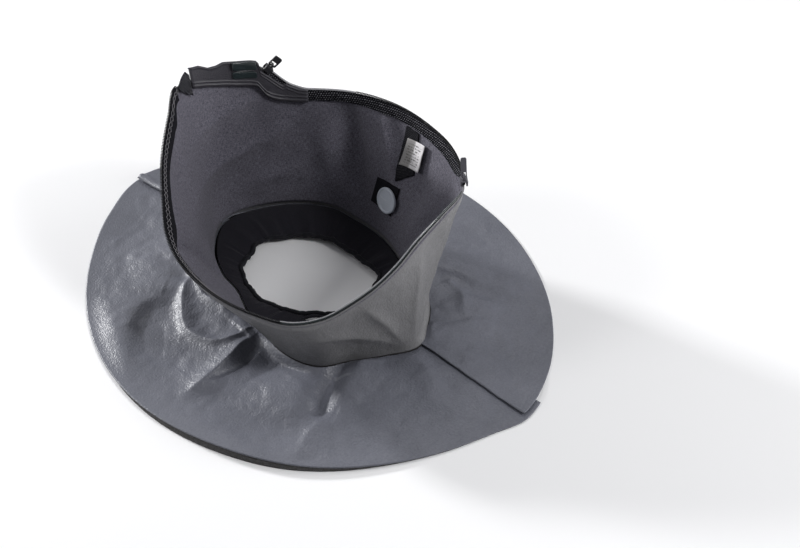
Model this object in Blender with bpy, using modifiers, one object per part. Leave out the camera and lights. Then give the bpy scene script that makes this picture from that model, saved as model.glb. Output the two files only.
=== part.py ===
"""Shroud of a smoke hood: shoulder cape, stand-up cowl, neck collar and half-zip rim.

Metres, +Z up, origin on the floor under the middle of the cape.
-Y is the wearer's front, +X the wearer's left.
Angles are degrees round +Z, measured from +X.
"""
import math

import bmesh
import bpy
from mathutils import Matrix, Vector

OBJECT_NAME = "smoke_hood"
GAP = 0.0004                     # clearance left between pieces that touch

# ---------------------------------------------------------------- cape
AXIS_X = 0.00525                 # the cowl's axis, placed so that the whole part is centred
AXIS_Y = 0.00217
# (angle, radius) of the hem round the cowl's axis; both panels run out to the seams
HEM = (
    (-180.0, 0.2425), (-160.0, 0.247), (-140.0, 0.257), (-120.0, 0.265),
    (-103.0, 0.275), (-90.0, 0.285), (-77.0, 0.275), (-60.0, 0.258),
    (-40.0, 0.242), (-20.0, 0.234), (0.0, 0.232), (20.0, 0.235), (40.0, 0.243),
    (60.0, 0.256), (77.0, 0.273), (90.0, 0.285), (103.0, 0.271), (120.0, 0.254),
    (140.0, 0.244), (160.0, 0.241),
)
CAPE_THICKNESS = 0.0012
CAPE_INNER_HEIGHT = 0.0110       # middle of the cloth where it meets the cowl
HEM_FLAT = 0.93                  # the cape lies flat on the floor beyond this share
SEAM_LAP = 5.0                   # degrees by which the left panel covers the right
SEAM_LIFT = 0.0030               # how far the upper panel rises over the lower one
SEAM_TAB = 0.005                 # seam allowance left sticking out at the front hem
CAPE_RIDGES = (                  # angle, share of the way out, both half widths, height
    (136.0, 0.25, 9.0, 0.25, 0.006),
    (157.0, 0.36, 12.0, 0.20, 0.010),
    (-178.0, 0.34, 12.0, 0.22, 0.010),
    (-169.0, 0.48, 8.0, 0.28, 0.007),
    (148.0, 0.70, 12.0, 0.14, 0.006),
    (-138.0, 0.35, 10.0, 0.30, 0.004),
    (-112.0, 0.35, 10.0, 0.28, 0.003),
    (-98.0, 0.40, 8.0, 0.25, 0.003),
    (-60.0, 0.40, 8.0, 0.25, 0.004),
    (-43.0, 0.40, 10.0, 0.30, 0.006),
    (22.0, 0.40, 12.0, 0.30, 0.005),
    (60.0, 0.45, 10.0, 0.30, 0.004),
    (115.0, 0.40, 12.0, 0.30, 0.004),
)

# ---------------------------------------------------------------- cowl wall
# (angle, radius) round the seam between cowl and cape, measured on the outside
RING = (
    (-163.0, 0.104), (-136.0, 0.1295), (-120.0, 0.129), (-104.0, 0.1385), (-94.0, 0.1495),
    (-88.0, 0.150), (-80.0, 0.1405), (-68.0, 0.1305), (-40.0, 0.104), (-18.0, 0.101),
    (17.0, 0.112), (35.0, 0.127), (67.0, 0.141), (87.0, 0.146),
    (107.0, 0.125), (125.0, 0.104), (142.0, 0.088), (160.0, 0.087), (180.0, 0.094),
)
# (angle, radius, height) of the rim line, where the zip coil runs
RIM = (
    (-161.0, 0.1405, 0.086), (-145.0, 0.1435, 0.085), (-132.0, 0.1395, 0.088),
    (-120.0, 0.136, 0.099), (-109.0, 0.1345, 0.110), (-98.0, 0.132, 0.120),
    (-83.0, 0.132, 0.134), (-67.0, 0.1415, 0.1435), (-53.0, 0.156, 0.148),
    (-43.0, 0.156, 0.150), (-30.0, 0.1535, 0.1535), (-13.0, 0.1495, 0.155),
    (8.0, 0.151, 0.155), (25.0, 0.1525, 0.155), (44.0, 0.151, 0.1565),
    (49.0, 0.152, 0.1605), (53.0, 0.1535, 0.167), (61.5, 0.157, 0.189),
    (68.0, 0.1595, 0.191), (82.0, 0.1625, 0.197), (93.0, 0.163, 0.204),
    (103.0, 0.161, 0.206), (109.0, 0.157, 0.190), (120.0, 0.154, 0.166),
    (130.0, 0.151, 0.150), (139.0, 0.150, 0.132), (146.0, 0.151, 0.116),
    (153.0, 0.149, 0.104), (162.0, 0.1445, 0.0945), (171.0, 0.142, 0.0915),
    (180.0, 0.141, 0.0895),
)
WALL_STEP = 6.0                  # degrees between the columns of every layer
WALL_FOOT = 0.0162               # height of the wall's lower edge
WALL_BUILD_UP = 0.0041           # from the rim line out to the shell's outer face
EDGE_DROP = 0.0040               # the fabric edge stops this far below the rim line
SHELL_THICKNESS = 0.0012
SHELL_OFFSET = 0.0035
LINING_THICKNESS = 0.0010
LINING_OFFSET = 0.0019
TAPE_THICKNESS = 0.0008
TAPE_WIDTH = 0.013
TAPE_TOP_DROP = 0.0020
COIL_RADIUS = 0.0015

# ---------------------------------------------------------------- neck collar
HOLE_HALF_WIDTH = 0.0613
HOLE_HALF_DEPTH = 0.0738
HOLE_TURN = 16.5                 # degrees anticlockwise from the long way front to back
HOLE_ASIDE = 0.0080              # towards the wearer's left from the cowl's axis
HOLE_SETBACK = 0.0163            # behind the cowl's axis
COLLAR_THICKNESS = 0.0016
COLLAR_OUTER_HEIGHT = 0.0130
COLLAR_INNER_HEIGHT = 0.0080
ELASTIC_RADIUS = 0.0022
SLIT_ANGLE = -138.0
SLIT_RADIUS = 0.064
SLIT_LENGTH = 0.022
SLIT_WIDTH = 0.007
BINDING_WIDTH = 0.010
BINDING_THICKNESS = 0.0014
BINDING_HEIGHT = 0.0078

# ---------------------------------------------------------------- rear plate
PLATE_THICKNESS = 0.0026
PLATE_OFFSET = -0.0022
PLATE_TOP = (
    (44.0, 0.1525), (48.0, 0.1545), (52.0, 0.1595), (56.0, 0.1680), (60.5, 0.1795),
    (62.8, 0.1850), (64.0, 0.1975), (66.0, 0.1990), (72.0, 0.2020), (77.5, 0.2060),
    (80.5, 0.2050), (84.0, 0.2065), (88.0, 0.2140), (92.4, 0.2174),
)
PLATE_BOTTOM = (
    (44.0, 0.1415), (50.0, 0.1428), (55.0, 0.1451), (58.6, 0.1487), (61.2, 0.1532),
    (62.8, 0.1593), (64.3, 0.1655), (66.1, 0.1672), (72.4, 0.1718), (81.8, 0.1806),
    (92.4, 0.1925),
)
GUSSET_TOP = ((93.0, 0.2100), (94.6, 0.2160), (97.0, 0.2130), (99.8, 0.2070))
GUSSET_BOTTOM = ((93.0, 0.1850), (95.0, 0.1900), (97.5, 0.1960), (99.8, 0.2010))
GUSSET_THICKNESS = 0.0010

# ---------------------------------------------------------------- latch bar on the plate
BAR_SPAN = (64.2, 74.5)
BAR_HEIGHT = 0.0098
BAR_THICKNESS = 0.0030
BAR_TOP_DROP = 0.0004
PAD_HEIGHT = 0.0080
PAD_THICKNESS = 0.0012
SLOT_GAP = 0.0022

# ---------------------------------------------------------------- zip sliders and pulls
REAR_SLIDER_ANGLE = 59.5         # parked near the top of the plate's curved edge
REAR_SLIDER_TRAVEL = 0.014
SIDE_SLIDER_ANGLE = -49.0        # parked at the corner of the rim
SIDE_SLIDER_TRAVEL = 0.016
SLIDER_LENGTH = 0.0100
SLIDER_WIDTH = 0.0078
SLIDER_HEIGHT = 0.0066
CHANNEL_RADIUS = 0.0026
CHANNEL_SLOT = 0.0044
ARCH_LENGTH = 0.0064
ARCH_WIDTH = 0.0030
ARCH_HEIGHT = 0.0050
ARCH_SINK = 0.0004
PIVOT_RISE = 0.0022              # pull's pivot above the slider's top face
PIVOT_HOLE = 0.0012
SLIDER_ROUNDING = 0.0008
ARCH_ROUNDING = 0.0006
PULL_THICKNESS = 0.0013
PULL_CORNER = 0.0016
PULL_PLAY = 0.0004
PULL_WINDOW_MARGIN = 0.0018      # the window clears the arch by this, beyond its half length
SIDE_PULL_LENGTH = 0.0210
SIDE_PULL_WIDTH = 0.0060
SIDE_PULL_LEAN = 28.0            # degrees from upright, towards the rear
REAR_PULL_LENGTH = 0.0130
REAR_PULL_WIDTH = 0.0096
REAR_PULL_WINDOW = 0.0060

# ---------------------------------------------------------------- label and snap
# corners are (angle, height): foot at the rear, foot at the front, top front, top rear
STRAP_CORNERS = ((-4.6, 0.080), (-15.0, 0.099), (-10.0, 0.1405), (-2.0, 0.1405))
STRAP_THICKNESS = 0.0010
LABEL_CORNERS = ((-5.0, 0.1006), (-18.6, 0.1069), (-17.0, 0.1355), (-4.9, 0.1299))
LABEL_THICKNESS = 0.0006
SNAP_ANGLE = -2.7
SNAP_HEIGHT = 0.056
SNAP_RADIUS = 0.0150
SNAP_THICKNESS = 0.0032
WASHER_RADIUS = 0.0080
WASHER_THICKNESS = 0.0012
PATCH_THICKNESS = 0.0010
PATCH_CORNERS = ((9.9, 0.0435), (-7.8, 0.0425), (-8.8, 0.0755), (7.8, 0.0725))


# ================================================================ shape of the cloth
def around(stations, deg, column=1):
    """Smooth value at an angle, from stations that go once round the object."""
    count = len(stations)
    turns = [s[0] for s in stations]
    deg = (deg - turns[0]) % 360.0 + turns[0]
    i = max(k for k in range(count) if turns[k] <= deg)

    def station(k):
        lap, index = divmod(k, count)
        return turns[index] + 360.0 * lap, stations[index][column]

    (xa, va), (xb, vb), (xc, vc), (xd, vd) = (station(i + k) for k in (-1, 0, 1, 2))
    return hermite(deg, xb, xc, vb, vc, (vc - va) / (xc - xa), (vd - vb) / (xd - xb))


def hermite(x, x0, x1, v0, v1, m0, m1):
    span = x1 - x0
    u = (x - x0) / span
    rise = u * u * (3.0 - 2.0 * u)
    return (v0 * (1.0 - rise) + v1 * rise
            + span * m0 * u * (1.0 - u) ** 2 - span * m1 * u * u * (1.0 - u))


def along(stations, deg):
    """Value at an angle between neighbouring stations of an open edge."""
    for (xa, va), (xb, vb) in zip(stations, stations[1:]):
        if deg <= xb:
            return va + (vb - va) * (deg - xa) / (xb - xa)
    return stations[-1][1]


def smooth_step(x):
    x = min(1.0, max(0.0, x))
    return x * x * (3.0 - 2.0 * x)


def polar(deg, radius, height):
    """A point given round the cowl's axis."""
    angle = math.radians(deg)
    return Vector((AXIS_X + radius * math.cos(angle), AXIS_Y + radius * math.sin(angle), height))


def rim_height(deg):
    return around(RIM, deg, 2)


def rim_slope(deg):
    """How much longer the rim is than its plan, because it climbs."""
    step = polar(deg + 1.0, around(RIM, deg + 1.0), 0.0) - polar(deg - 1.0, around(RIM, deg - 1.0), 0.0)
    rise = rim_height(deg + 1.0) - rim_height(deg - 1.0)
    return math.sqrt(1.0 + (rise / step.length) ** 2)


def wall_middle(deg, height):
    """The zip tape's surface: straight from the neck seam to the rim."""
    share = (height - WALL_FOOT) / (rim_height(deg) - WALL_FOOT)
    foot = around(RING, deg) - WALL_BUILD_UP
    return polar(deg, foot + (around(RIM, deg) - foot) * share, height)


def wall_normal(deg, height):
    across = wall_middle(deg + 1.0, height) - wall_middle(deg - 1.0, height)
    up = wall_middle(deg, height + 0.002) - wall_middle(deg, height - 0.002)
    return across.cross(up).normalized()


def wall_point(deg, height, offset=0.0):
    return wall_middle(deg, height) + wall_normal(deg, height) * offset


def wall_frame(deg, height, offset=0.0):
    """Placement on the wall: X along it anticlockwise, Y inwards, Z up the wall."""
    normal = wall_normal(deg, height)
    across = (wall_middle(deg + 1.0, height) - wall_middle(deg - 1.0, height)).normalized()
    up = normal.cross(across)
    if up.z < 0.0:
        up = -up
    rotation = Matrix((across, -normal, up)).transposed().to_4x4()
    return Matrix.Translation(wall_point(deg, height, offset)) @ rotation


def cape_point(deg, share, lift=0.0, tab=0.0):
    """A point of the cape, from its inner edge (0) to its hem (1)."""
    inner = around(RING, deg) + GAP
    radius = inner + (around(HEM, deg) + tab - inner) * share
    fall = smooth_step(1.0 - share / HEM_FLAT)
    height = CAPE_THICKNESS / 2 + (CAPE_INNER_HEIGHT - CAPE_THICKNESS / 2) * fall
    for centre, reach, half_angle, half_reach, rise in CAPE_RIDGES:
        turn = (deg - centre + 180.0) % 360.0 - 180.0
        bump = math.exp(-(turn / half_angle) ** 2 - ((share - reach) / half_reach) ** 2)
        height += rise * bump * smooth_step((HEM_FLAT - share) * 4.0) * smooth_step(share * 5.0)
    return polar(deg, radius, height + lift)


# ================================================================ building helpers
def new_collection(name):
    collection = bpy.data.collections.new(name)
    bpy.context.scene.collection.children.link(collection)
    return collection


def material(name, colour, roughness, metallic=0.0):
    made = bpy.data.materials.new(name)
    made.use_nodes = True
    shader = made.node_tree.nodes["Principled BSDF"]
    shader.inputs["Base Color"].default_value = (*colour, 1.0)
    shader.inputs["Roughness"].default_value = roughness
    shader.inputs["Metallic"].default_value = metallic
    return made


def add_object(name, data, look, place=None):
    made = bpy.data.objects.new(name, data)
    PARTS.objects.link(made)
    data.materials.append(look)
    if place is not None:
        made.matrix_world = place
    return made


def cloth(name, rows, thickness, look, closed=False):
    """A sheet through rows of points, given its thickness by Solidify."""
    mesh = bmesh.new()
    grid = [[mesh.verts.new(point) for point in row] for row in rows]
    columns = len(grid[0])
    for lower, upper in zip(grid, grid[1:]):
        for i in range(columns if closed else columns - 1):
            j = (i + 1) % columns
            mesh.faces.new((lower[i], lower[j], upper[j], upper[i]))
    data = bpy.data.meshes.new(name)
    mesh.to_mesh(data)
    mesh.free()
    data.shade_smooth()
    made = add_object(name, data, look)
    solid = made.modifiers.new("Thickness", "SOLIDIFY")
    solid.thickness = thickness
    solid.offset = 0.0
    solid.use_even_offset = True
    return made


def tube(name, points, radius, look, cyclic=False, resolution=2):
    """A round cord or bead through a list of points."""
    data = bpy.data.curves.new(name, "CURVE")
    data.dimensions = "3D"
    data.bevel_depth = radius
    data.bevel_resolution = resolution
    data.use_fill_caps = not cyclic
    spline = data.splines.new("POLY")
    spline.points.add(len(points) - 1)
    for target, point in zip(spline.points, points):
        target.co = (*point, 1.0)
    spline.use_cyclic_u = cyclic
    return add_object(name, data, look)


def block(name, size, look, place, rounding=0.0):
    """A box centred on its origin, with rounded edges if asked."""
    mesh = bmesh.new()
    bmesh.ops.create_cube(mesh, size=1.0)
    bmesh.ops.scale(mesh, vec=size, verts=mesh.verts)
    data = bpy.data.meshes.new(name)
    mesh.to_mesh(data)
    mesh.free()
    made = add_object(name, data, look, place)
    if rounding:
        bevel = made.modifiers.new("Rounding", "BEVEL")
        bevel.width = rounding
        bevel.segments = 2
    return made


def drum(name, radius, depth, look, place, sides=32, rounding=0.0):
    """A cylinder along its own Z, centred on its origin."""
    mesh = bmesh.new()
    bmesh.ops.create_cone(mesh, cap_ends=True, segments=sides,
                          radius1=radius, radius2=radius, depth=depth)
    data = bpy.data.meshes.new(name)
    mesh.to_mesh(data)
    mesh.free()
    made = add_object(name, data, look, place)
    if rounding:
        bevel = made.modifiers.new("Rounding", "BEVEL")
        bevel.width = rounding
        bevel.segments = 2
        bevel.limit_method = "ANGLE"
    return made


def flat_outline(name, outlines, thickness, look, place):
    """A flat plate cut to an outline, with any holes as further outlines."""
    data = bpy.data.curves.new(name, "CURVE")
    data.dimensions = "2D"
    data.fill_mode = "BOTH"
    data.extrude = thickness / 2
    for outline in outlines:
        spline = data.splines.new("POLY")
        spline.points.add(len(outline) - 1)
        for target, (x, y) in zip(spline.points, outline):
            target.co = (x, y, 0.0, 1.0)
        spline.use_cyclic_u = True
    return add_object(name, data, look, place)


def as_cutter(made):
    """Move an object to the hidden cutters."""
    PARTS.objects.unlink(made)
    CUTTERS.objects.link(made)
    made.hide_render = True
    made.display_type = "WIRE"
    return made


def cut(made, cutter):
    boolean = made.modifiers.new("Cut " + cutter.name, "BOOLEAN")
    boolean.operation = "DIFFERENCE"
    boolean.solver = "EXACT"
    boolean.object = cutter


def span(start, end, count):
    return [start + (end - start) * i / (count - 1) for i in range(count)]


def rounded_bar(length, width, corner, steps=4):
    """Outline of a bar with round corners, from y = 0 up to its length."""
    points = []
    centres = ((width / 2 - corner, length - corner, 0.0), (corner - width / 2, length - corner, 90.0),
               (corner - width / 2, corner, 180.0), (width / 2 - corner, corner, 270.0))
    for x, y, start in centres:
        for i in range(steps + 1):
            turn = math.radians(start + 90.0 * i / steps)
            points.append((x + corner * math.cos(turn), y + corner * math.sin(turn)))
    return points


# ================================================================ textile pieces
CAPE_ROWS = (0.0, 0.10, 0.22, 0.36, 0.52, 0.70, 0.85, HEM_FLAT, 1.0)


def make_cape_panels():
    """Two half capes; the left one laps over the right at the front and back seams."""
    left = []
    for share in CAPE_ROWS:
        row = []
        for deg in span(-90.0, 90.0, 27):
            edge = min(deg + 90.0, 90.0 - deg)
            lift = SEAM_LIFT * (1.0 - smooth_step((edge - SEAM_LAP) / (2.0 * SEAM_LAP)))
            row.append(cape_point(deg, share, lift))
        left.append(row)
    right = []
    for share in CAPE_ROWS:
        row = []
        for deg in span(90.0 - SEAM_LAP, 270.0 + SEAM_LAP, 31):
            tab = SEAM_TAB * smooth_step((deg - 262.0) / 8.0)
            row.append(cape_point(deg, share, 0.0, tab))
        right.append(row)
    cloth("cape_panel_left", left, CAPE_THICKNESS, CAPE_CLOTH)
    cloth("cape_panel_right", right, CAPE_THICKNESS, CAPE_CLOTH)


def wall_columns(start, end, step=WALL_STEP):
    """Angles from start to end, on the columns that the layers of the wall share."""
    first = math.ceil(start / step + 0.1)
    last = math.floor(end / step - 0.1)
    return [start] + [step * i for i in range(first, last + 1)] + [end]


def wall_rows(degs, shares, offset):
    """Rows of wall points between the foot and the fabric's upper edge."""
    rows = []
    for share in shares:
        row = []
        for deg in degs:
            top = rim_height(deg) - EDGE_DROP * rim_slope(deg)
            row.append(wall_point(deg, WALL_FOOT + (top - WALL_FOOT) * share, offset))
        rows.append(row)
    return rows


def make_cowl():
    """The outer cloth wall and its lining."""
    shares = span(0.0, 1.0, 5)
    degs = wall_columns(-180.0, 180.0)[:-1]
    cloth("cowl_shell", wall_rows(degs, shares, SHELL_OFFSET), SHELL_THICKNESS, SHELL_CLOTH, True)
    cloth("cowl_lining", wall_rows(degs, shares, LINING_OFFSET), LINING_THICKNESS,
          LINING_CLOTH, True)


def hole_point(deg, extra, height):
    """A point round the neck hole, an ellipse set back from the cowl's axis and turned."""
    angle = math.radians(deg)
    spot = Vector(((HOLE_HALF_WIDTH + extra) * math.cos(angle),
                   (HOLE_HALF_DEPTH + extra) * math.sin(angle), 0.0))
    spot.rotate(Matrix.Rotation(math.radians(HOLE_TURN), 3, "Z"))
    return spot + Vector((AXIS_X + HOLE_ASIDE, AXIS_Y + HOLE_SETBACK, height))


def make_collar():
    """The stretch collar inside the cowl, its elastic and the seam binding below it."""
    degs = span(-180.0, 180.0, 49)[:-1]
    inner = [hole_point(deg, ELASTIC_RADIUS * 2 + GAP, COLLAR_INNER_HEIGHT) for deg in degs]
    outer = []
    for point in inner:
        deg = math.degrees(math.atan2(point.y - AXIS_Y, point.x - AXIS_X))
        outer.append(polar(deg, around(RING, deg) - WALL_BUILD_UP - 0.0016, COLLAR_OUTER_HEIGHT))
    middle = [(a + b) / 2 for a, b in zip(inner, outer)]
    collar = cloth("neck_collar", [outer, middle, inner], COLLAR_THICKNESS, STRETCH_CLOTH, True)

    slit = drum("slit_cutter", 0.5, 0.03, STRETCH_CLOTH, None, 16)
    slit.data.transform(Matrix.Diagonal((SLIT_LENGTH, SLIT_WIDTH, 1.0, 1.0)))
    slit.matrix_world = (Matrix.Translation(polar(SLIT_ANGLE, SLIT_RADIUS, COLLAR_INNER_HEIGHT))
                         @ Matrix.Rotation(math.radians(SLIT_ANGLE + 90.0), 4, "Z"))
    cut(collar, as_cutter(slit))

    ring = [hole_point(deg, ELASTIC_RADIUS, COLLAR_INNER_HEIGHT) for deg in span(-180, 180, 49)[:-1]]
    tube("collar_elastic", ring, ELASTIC_RADIUS, ELASTIC, cyclic=True, resolution=1)

    binding = []
    for side in (1.0, -1.0):
        binding.append([polar(deg, around(RING, deg) - side * BINDING_WIDTH / 2, BINDING_HEIGHT)
                        for deg in degs])
    cloth("neck_seam_binding", binding, BINDING_THICKNESS, BLACK_TAPE, True)


def tape_rows(degs):
    upper, lower = [], []
    for deg in degs:
        top = rim_height(deg)
        slope = rim_slope(deg)
        lower.append(wall_point(deg, top - TAPE_WIDTH * slope))
        upper.append(wall_point(deg, top - TAPE_TOP_DROP * slope))
    return [lower, upper]


def make_zip():
    """Half of a coil zip: woven tape inside the wall and the coil along the rim."""
    for side, start, end in (("right", 100.5, 305.5), ("left", -50.8, 61.3)):
        degs = wall_columns(start, end, WALL_STEP / 2)
        cloth("zip_tape_" + side, tape_rows(degs), TAPE_THICKNESS, BLACK_TAPE)
        beads = [rim_point(deg) for deg in degs]
        tube("zip_coil_" + side, beads, COIL_RADIUS, COIL, resolution=1)


# ================================================================ rear plate and latch bar
def plate_rows(degs, top, bottom, offset, count=3):
    rows = []
    for share in span(0.0, 1.0, count):
        row = []
        for deg in degs:
            low, high = along(bottom, deg), along(top, deg)
            row.append(wall_point(deg, low + (high - low) * share, offset))
        rows.append(row)
    return rows


def make_rear_plate():
    """Moulded plate standing on the back of the rim, with a woven gusset at its end."""
    degs = sorted(set(deg for deg, _ in PLATE_TOP + PLATE_BOTTOM) | set((68.5, 75.0)))
    cloth("rear_plate", plate_rows(degs, PLATE_TOP, PLATE_BOTTOM, PLATE_OFFSET, 4),
          PLATE_THICKNESS, PLATE_PLASTIC)
    degs = [deg for deg, _ in GUSSET_TOP] + [95.0, 97.5]
    cloth("corner_gusset", plate_rows(sorted(degs), GUSSET_TOP, GUSSET_BOTTOM, PLATE_OFFSET),
          GUSSET_THICKNESS, BLACK_TAPE)


def make_latch_bar():
    """Glossy bar along the plate's upper edge, and the pad under its slot."""
    degs = span(*BAR_SPAN, 7)
    face = PLATE_OFFSET - PLATE_THICKNESS / 2 - GAP
    bar, pad = [[], []], [[], []]
    for deg in degs:
        top = along(PLATE_TOP, deg) - BAR_TOP_DROP
        bar_foot = top - BAR_HEIGHT
        pad_top = bar_foot - SLOT_GAP
        bar[0].append(wall_point(deg, bar_foot, face - BAR_THICKNESS / 2))
        bar[1].append(wall_point(deg, top, face - BAR_THICKNESS / 2))
        pad[0].append(wall_point(deg, pad_top - PAD_HEIGHT, face - PAD_THICKNESS / 2))
        pad[1].append(wall_point(deg, pad_top, face - PAD_THICKNESS / 2))
    cloth("latch_bar", bar, BAR_THICKNESS, GLOSS_PLASTIC)
    cloth("latch_pad", pad, PAD_THICKNESS, GLOSS_PLASTIC)


# ================================================================ zip sliders and pulls
def rim_point(deg):
    return wall_point(deg, rim_height(deg))


def track_frame(deg, travel):
    """Placement of a parked slider: X along the straight line it travels, Z out of the rim.

    Both sliders travel towards the wearer's left, at angle 0.
    """
    start = rim_point(deg)
    step = math.copysign(0.25, -deg)
    end = deg
    while (rim_point(end) - start).length < travel:
        end += step
    forward = (rim_point(end) - start).normalized()
    side = Vector((0.0, 0.0, 1.0)).cross(forward).normalized()
    rotation = Matrix((forward, side, forward.cross(side))).transposed().to_4x4()
    return Matrix.Translation(start) @ rotation


def make_slider(name, place, eye_turn):
    """Slider body: a block over the coil, open below for the tape, with an arch on top."""
    body = block(name, (SLIDER_LENGTH, SLIDER_WIDTH, SLIDER_HEIGHT), SLIDER_METAL, place,
                 SLIDER_ROUNDING)
    crown = place @ Matrix.Translation((0.0, 0.0, SLIDER_HEIGHT / 2))
    crown = crown @ Matrix.Rotation(math.radians(eye_turn), 4, "Z")
    arch = block(name + "_arch", (ARCH_LENGTH, ARCH_WIDTH, ARCH_HEIGHT), SLIDER_METAL,
                 crown @ Matrix.Translation((0.0, 0.0, ARCH_HEIGHT / 2 - ARCH_SINK)), ARCH_ROUNDING)
    eye = drum(name + "_eye", PIVOT_HOLE, SLIDER_LENGTH, SLIDER_METAL,
               crown @ Matrix.Translation((0.0, 0.0, PIVOT_RISE))
               @ Matrix.Rotation(math.radians(90.0), 4, "X"), 12)
    channel = drum(name + "_channel", CHANNEL_RADIUS, SLIDER_LENGTH * 2, SLIDER_METAL,
                   place @ Matrix.Rotation(math.radians(90.0), 4, "Y"), 12)
    slot = block(name + "_slot", (SLIDER_LENGTH * 2, CHANNEL_SLOT, SLIDER_HEIGHT), SLIDER_METAL,
                 place @ Matrix.Translation((0.0, 0.0, -SLIDER_HEIGHT / 2)))
    cut(body, as_cutter(channel))
    cut(body, as_cutter(slot))
    join = body.modifiers.new("Arch", "BOOLEAN")
    join.operation = "UNION"
    join.solver = "EXACT"
    join.object = as_cutter(arch)
    cut(body, as_cutter(eye))
    return body


def pull_frame(place, eye_turn, lean):
    """Placement of a pull: origin on its pivot, X along the hinge, Y along the pull."""
    pivot = place @ Matrix.Translation((0.0, 0.0, SLIDER_HEIGHT / 2 + PIVOT_RISE))
    pivot = pivot @ Matrix.Rotation(math.radians(eye_turn + 90.0), 4, "Z")
    return pivot @ Matrix.Rotation(math.radians(90.0 + lean), 4, "X")


def make_pull(name, place, length, width, half_window=ARCH_WIDTH / 2 + PULL_PLAY):
    """Flat pull whose foot bar passes through the slider's eye."""
    bar = PULL_THICKNESS
    outer = [(x, y - bar / 2) for x, y in rounded_bar(length, width, PULL_CORNER)]
    top = ARCH_LENGTH / 2 + PULL_WINDOW_MARGIN
    hole = [(-half_window, bar / 2), (half_window, bar / 2), (half_window, top), (-half_window, top)]
    return flat_outline(name, [outer, hole], bar, SLIDER_METAL, place)


def make_sliders():
    """Two parked sliders with their pulls."""
    rear = track_frame(REAR_SLIDER_ANGLE, REAR_SLIDER_TRAVEL)
    make_slider("rear_slider", rear, 90.0)
    make_pull("rear_pull", pull_frame(rear, 90.0, 0.0), REAR_PULL_LENGTH, REAR_PULL_WIDTH,
              REAR_PULL_WINDOW / 2)
    side = track_frame(SIDE_SLIDER_ANGLE, SIDE_SLIDER_TRAVEL)
    make_slider("side_slider", side, 0.0)
    make_pull("side_pull", pull_frame(side, 0.0, SIDE_PULL_LEAN), SIDE_PULL_LENGTH,
              SIDE_PULL_WIDTH)


# ================================================================ label and snap
def wall_patch(name, corners, offset, thickness, look, count=4):
    """A small cloth piece laid on the wall between four corners (angle, height)."""
    (bl, br, tr, tl) = corners
    rows = []
    for v in span(0.0, 1.0, count):
        row = []
        for u in span(0.0, 1.0, count):
            deg = (bl[0] * (1 - u) + br[0] * u) * (1 - v) + (tl[0] * (1 - u) + tr[0] * u) * v
            height = (bl[1] * (1 - u) + br[1] * u) * (1 - v) + (tl[1] * (1 - u) + tr[1] * u) * v
            row.append(wall_point(deg, height, offset))
        rows.append(row)
    return cloth(name, rows, thickness, look)


def make_label():
    """A black strap down the wall, and a folded care label held under it."""
    skin = LINING_OFFSET - LINING_THICKNESS / 2 - GAP
    wall_patch("label_strap", STRAP_CORNERS, skin - STRAP_THICKNESS / 2, STRAP_THICKNESS, BLACK_TAPE)
    label_skin = skin - STRAP_THICKNESS - GAP - LABEL_THICKNESS / 2
    wall_patch("care_label", LABEL_CORNERS, label_skin, LABEL_THICKNESS, LABEL_CLOTH)


def make_snap():
    """A large press-stud cap on its diamond patch, with its post and the washer outside."""
    skin = LINING_OFFSET - LINING_THICKNESS / 2 - GAP
    wall_patch("snap_patch", PATCH_CORNERS, skin - PATCH_THICKNESS / 2, PATCH_THICKNESS, BLACK_TAPE)
    face = skin - PATCH_THICKNESS - GAP * 2
    place = wall_frame(SNAP_ANGLE, SNAP_HEIGHT, face - SNAP_THICKNESS / 2)
    drum("snap_cap", SNAP_RADIUS, SNAP_THICKNESS, SNAP_PLASTIC,
         place @ Matrix.Rotation(math.radians(90.0), 4, "X"), 40, 0.0009)
    outside = SHELL_OFFSET + SHELL_THICKNESS / 2 + GAP * 2
    place = wall_frame(SNAP_ANGLE, SNAP_HEIGHT, outside + WASHER_THICKNESS / 2)
    drum("snap_washer", WASHER_RADIUS, WASHER_THICKNESS, SLIDER_METAL,
         place @ Matrix.Rotation(math.radians(90.0), 4, "X"), 24, 0.0004)


# ================================================================ build
for old in list(bpy.data.objects):
    bpy.data.objects.remove(old)
PARTS = new_collection(OBJECT_NAME)
CUTTERS = new_collection(OBJECT_NAME + "_cutters")
CUTTERS.hide_render = True

CAPE_CLOTH = material("cape_cloth", (0.155, 0.165, 0.195), 0.45)
SHELL_CLOTH = material("shell_cloth", (0.095, 0.095, 0.100), 0.55)
LINING_CLOTH = material("lining_cloth", (0.060, 0.058, 0.072), 0.85)
STRETCH_CLOTH = material("stretch_cloth", (0.010, 0.010, 0.013), 0.80)
ELASTIC = material("elastic", (0.012, 0.012, 0.015), 0.70)
BLACK_TAPE = material("black_tape", (0.014, 0.014, 0.017), 0.75)
COIL = material("zip_coil", (0.015, 0.015, 0.017), 0.30)
PLATE_PLASTIC = material("plate_plastic", (0.040, 0.038, 0.050), 0.50)
GLOSS_PLASTIC = material("gloss_plastic", (0.018, 0.024, 0.026), 0.18)
SLIDER_METAL = material("slider_metal", (0.020, 0.020, 0.024), 0.35, 0.8)
LABEL_CLOTH = material("label_cloth", (0.75, 0.73, 0.74), 0.60)
SNAP_PLASTIC = material("snap_plastic", (0.20, 0.215, 0.245), 0.35)

make_cape_panels()
make_cowl()
make_collar()
make_zip()
make_rear_plate()
make_latch_bar()
make_sliders()
make_label()
make_snap()
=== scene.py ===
"""Looks of the smoke hood's shroud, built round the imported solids.

Cape, cowl, lining, collar and tapes are sheets shaped by named folds and given their
thickness here; the zip coils, rear plate, label and press stud get their fine shapes.
Angles are degrees round the cowl's axis from +X. Lengths are in metres, and in millimetres
in the tables of folds.
"""
import math

import bpy
import numpy as np
from mathutils import Matrix, Vector


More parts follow.
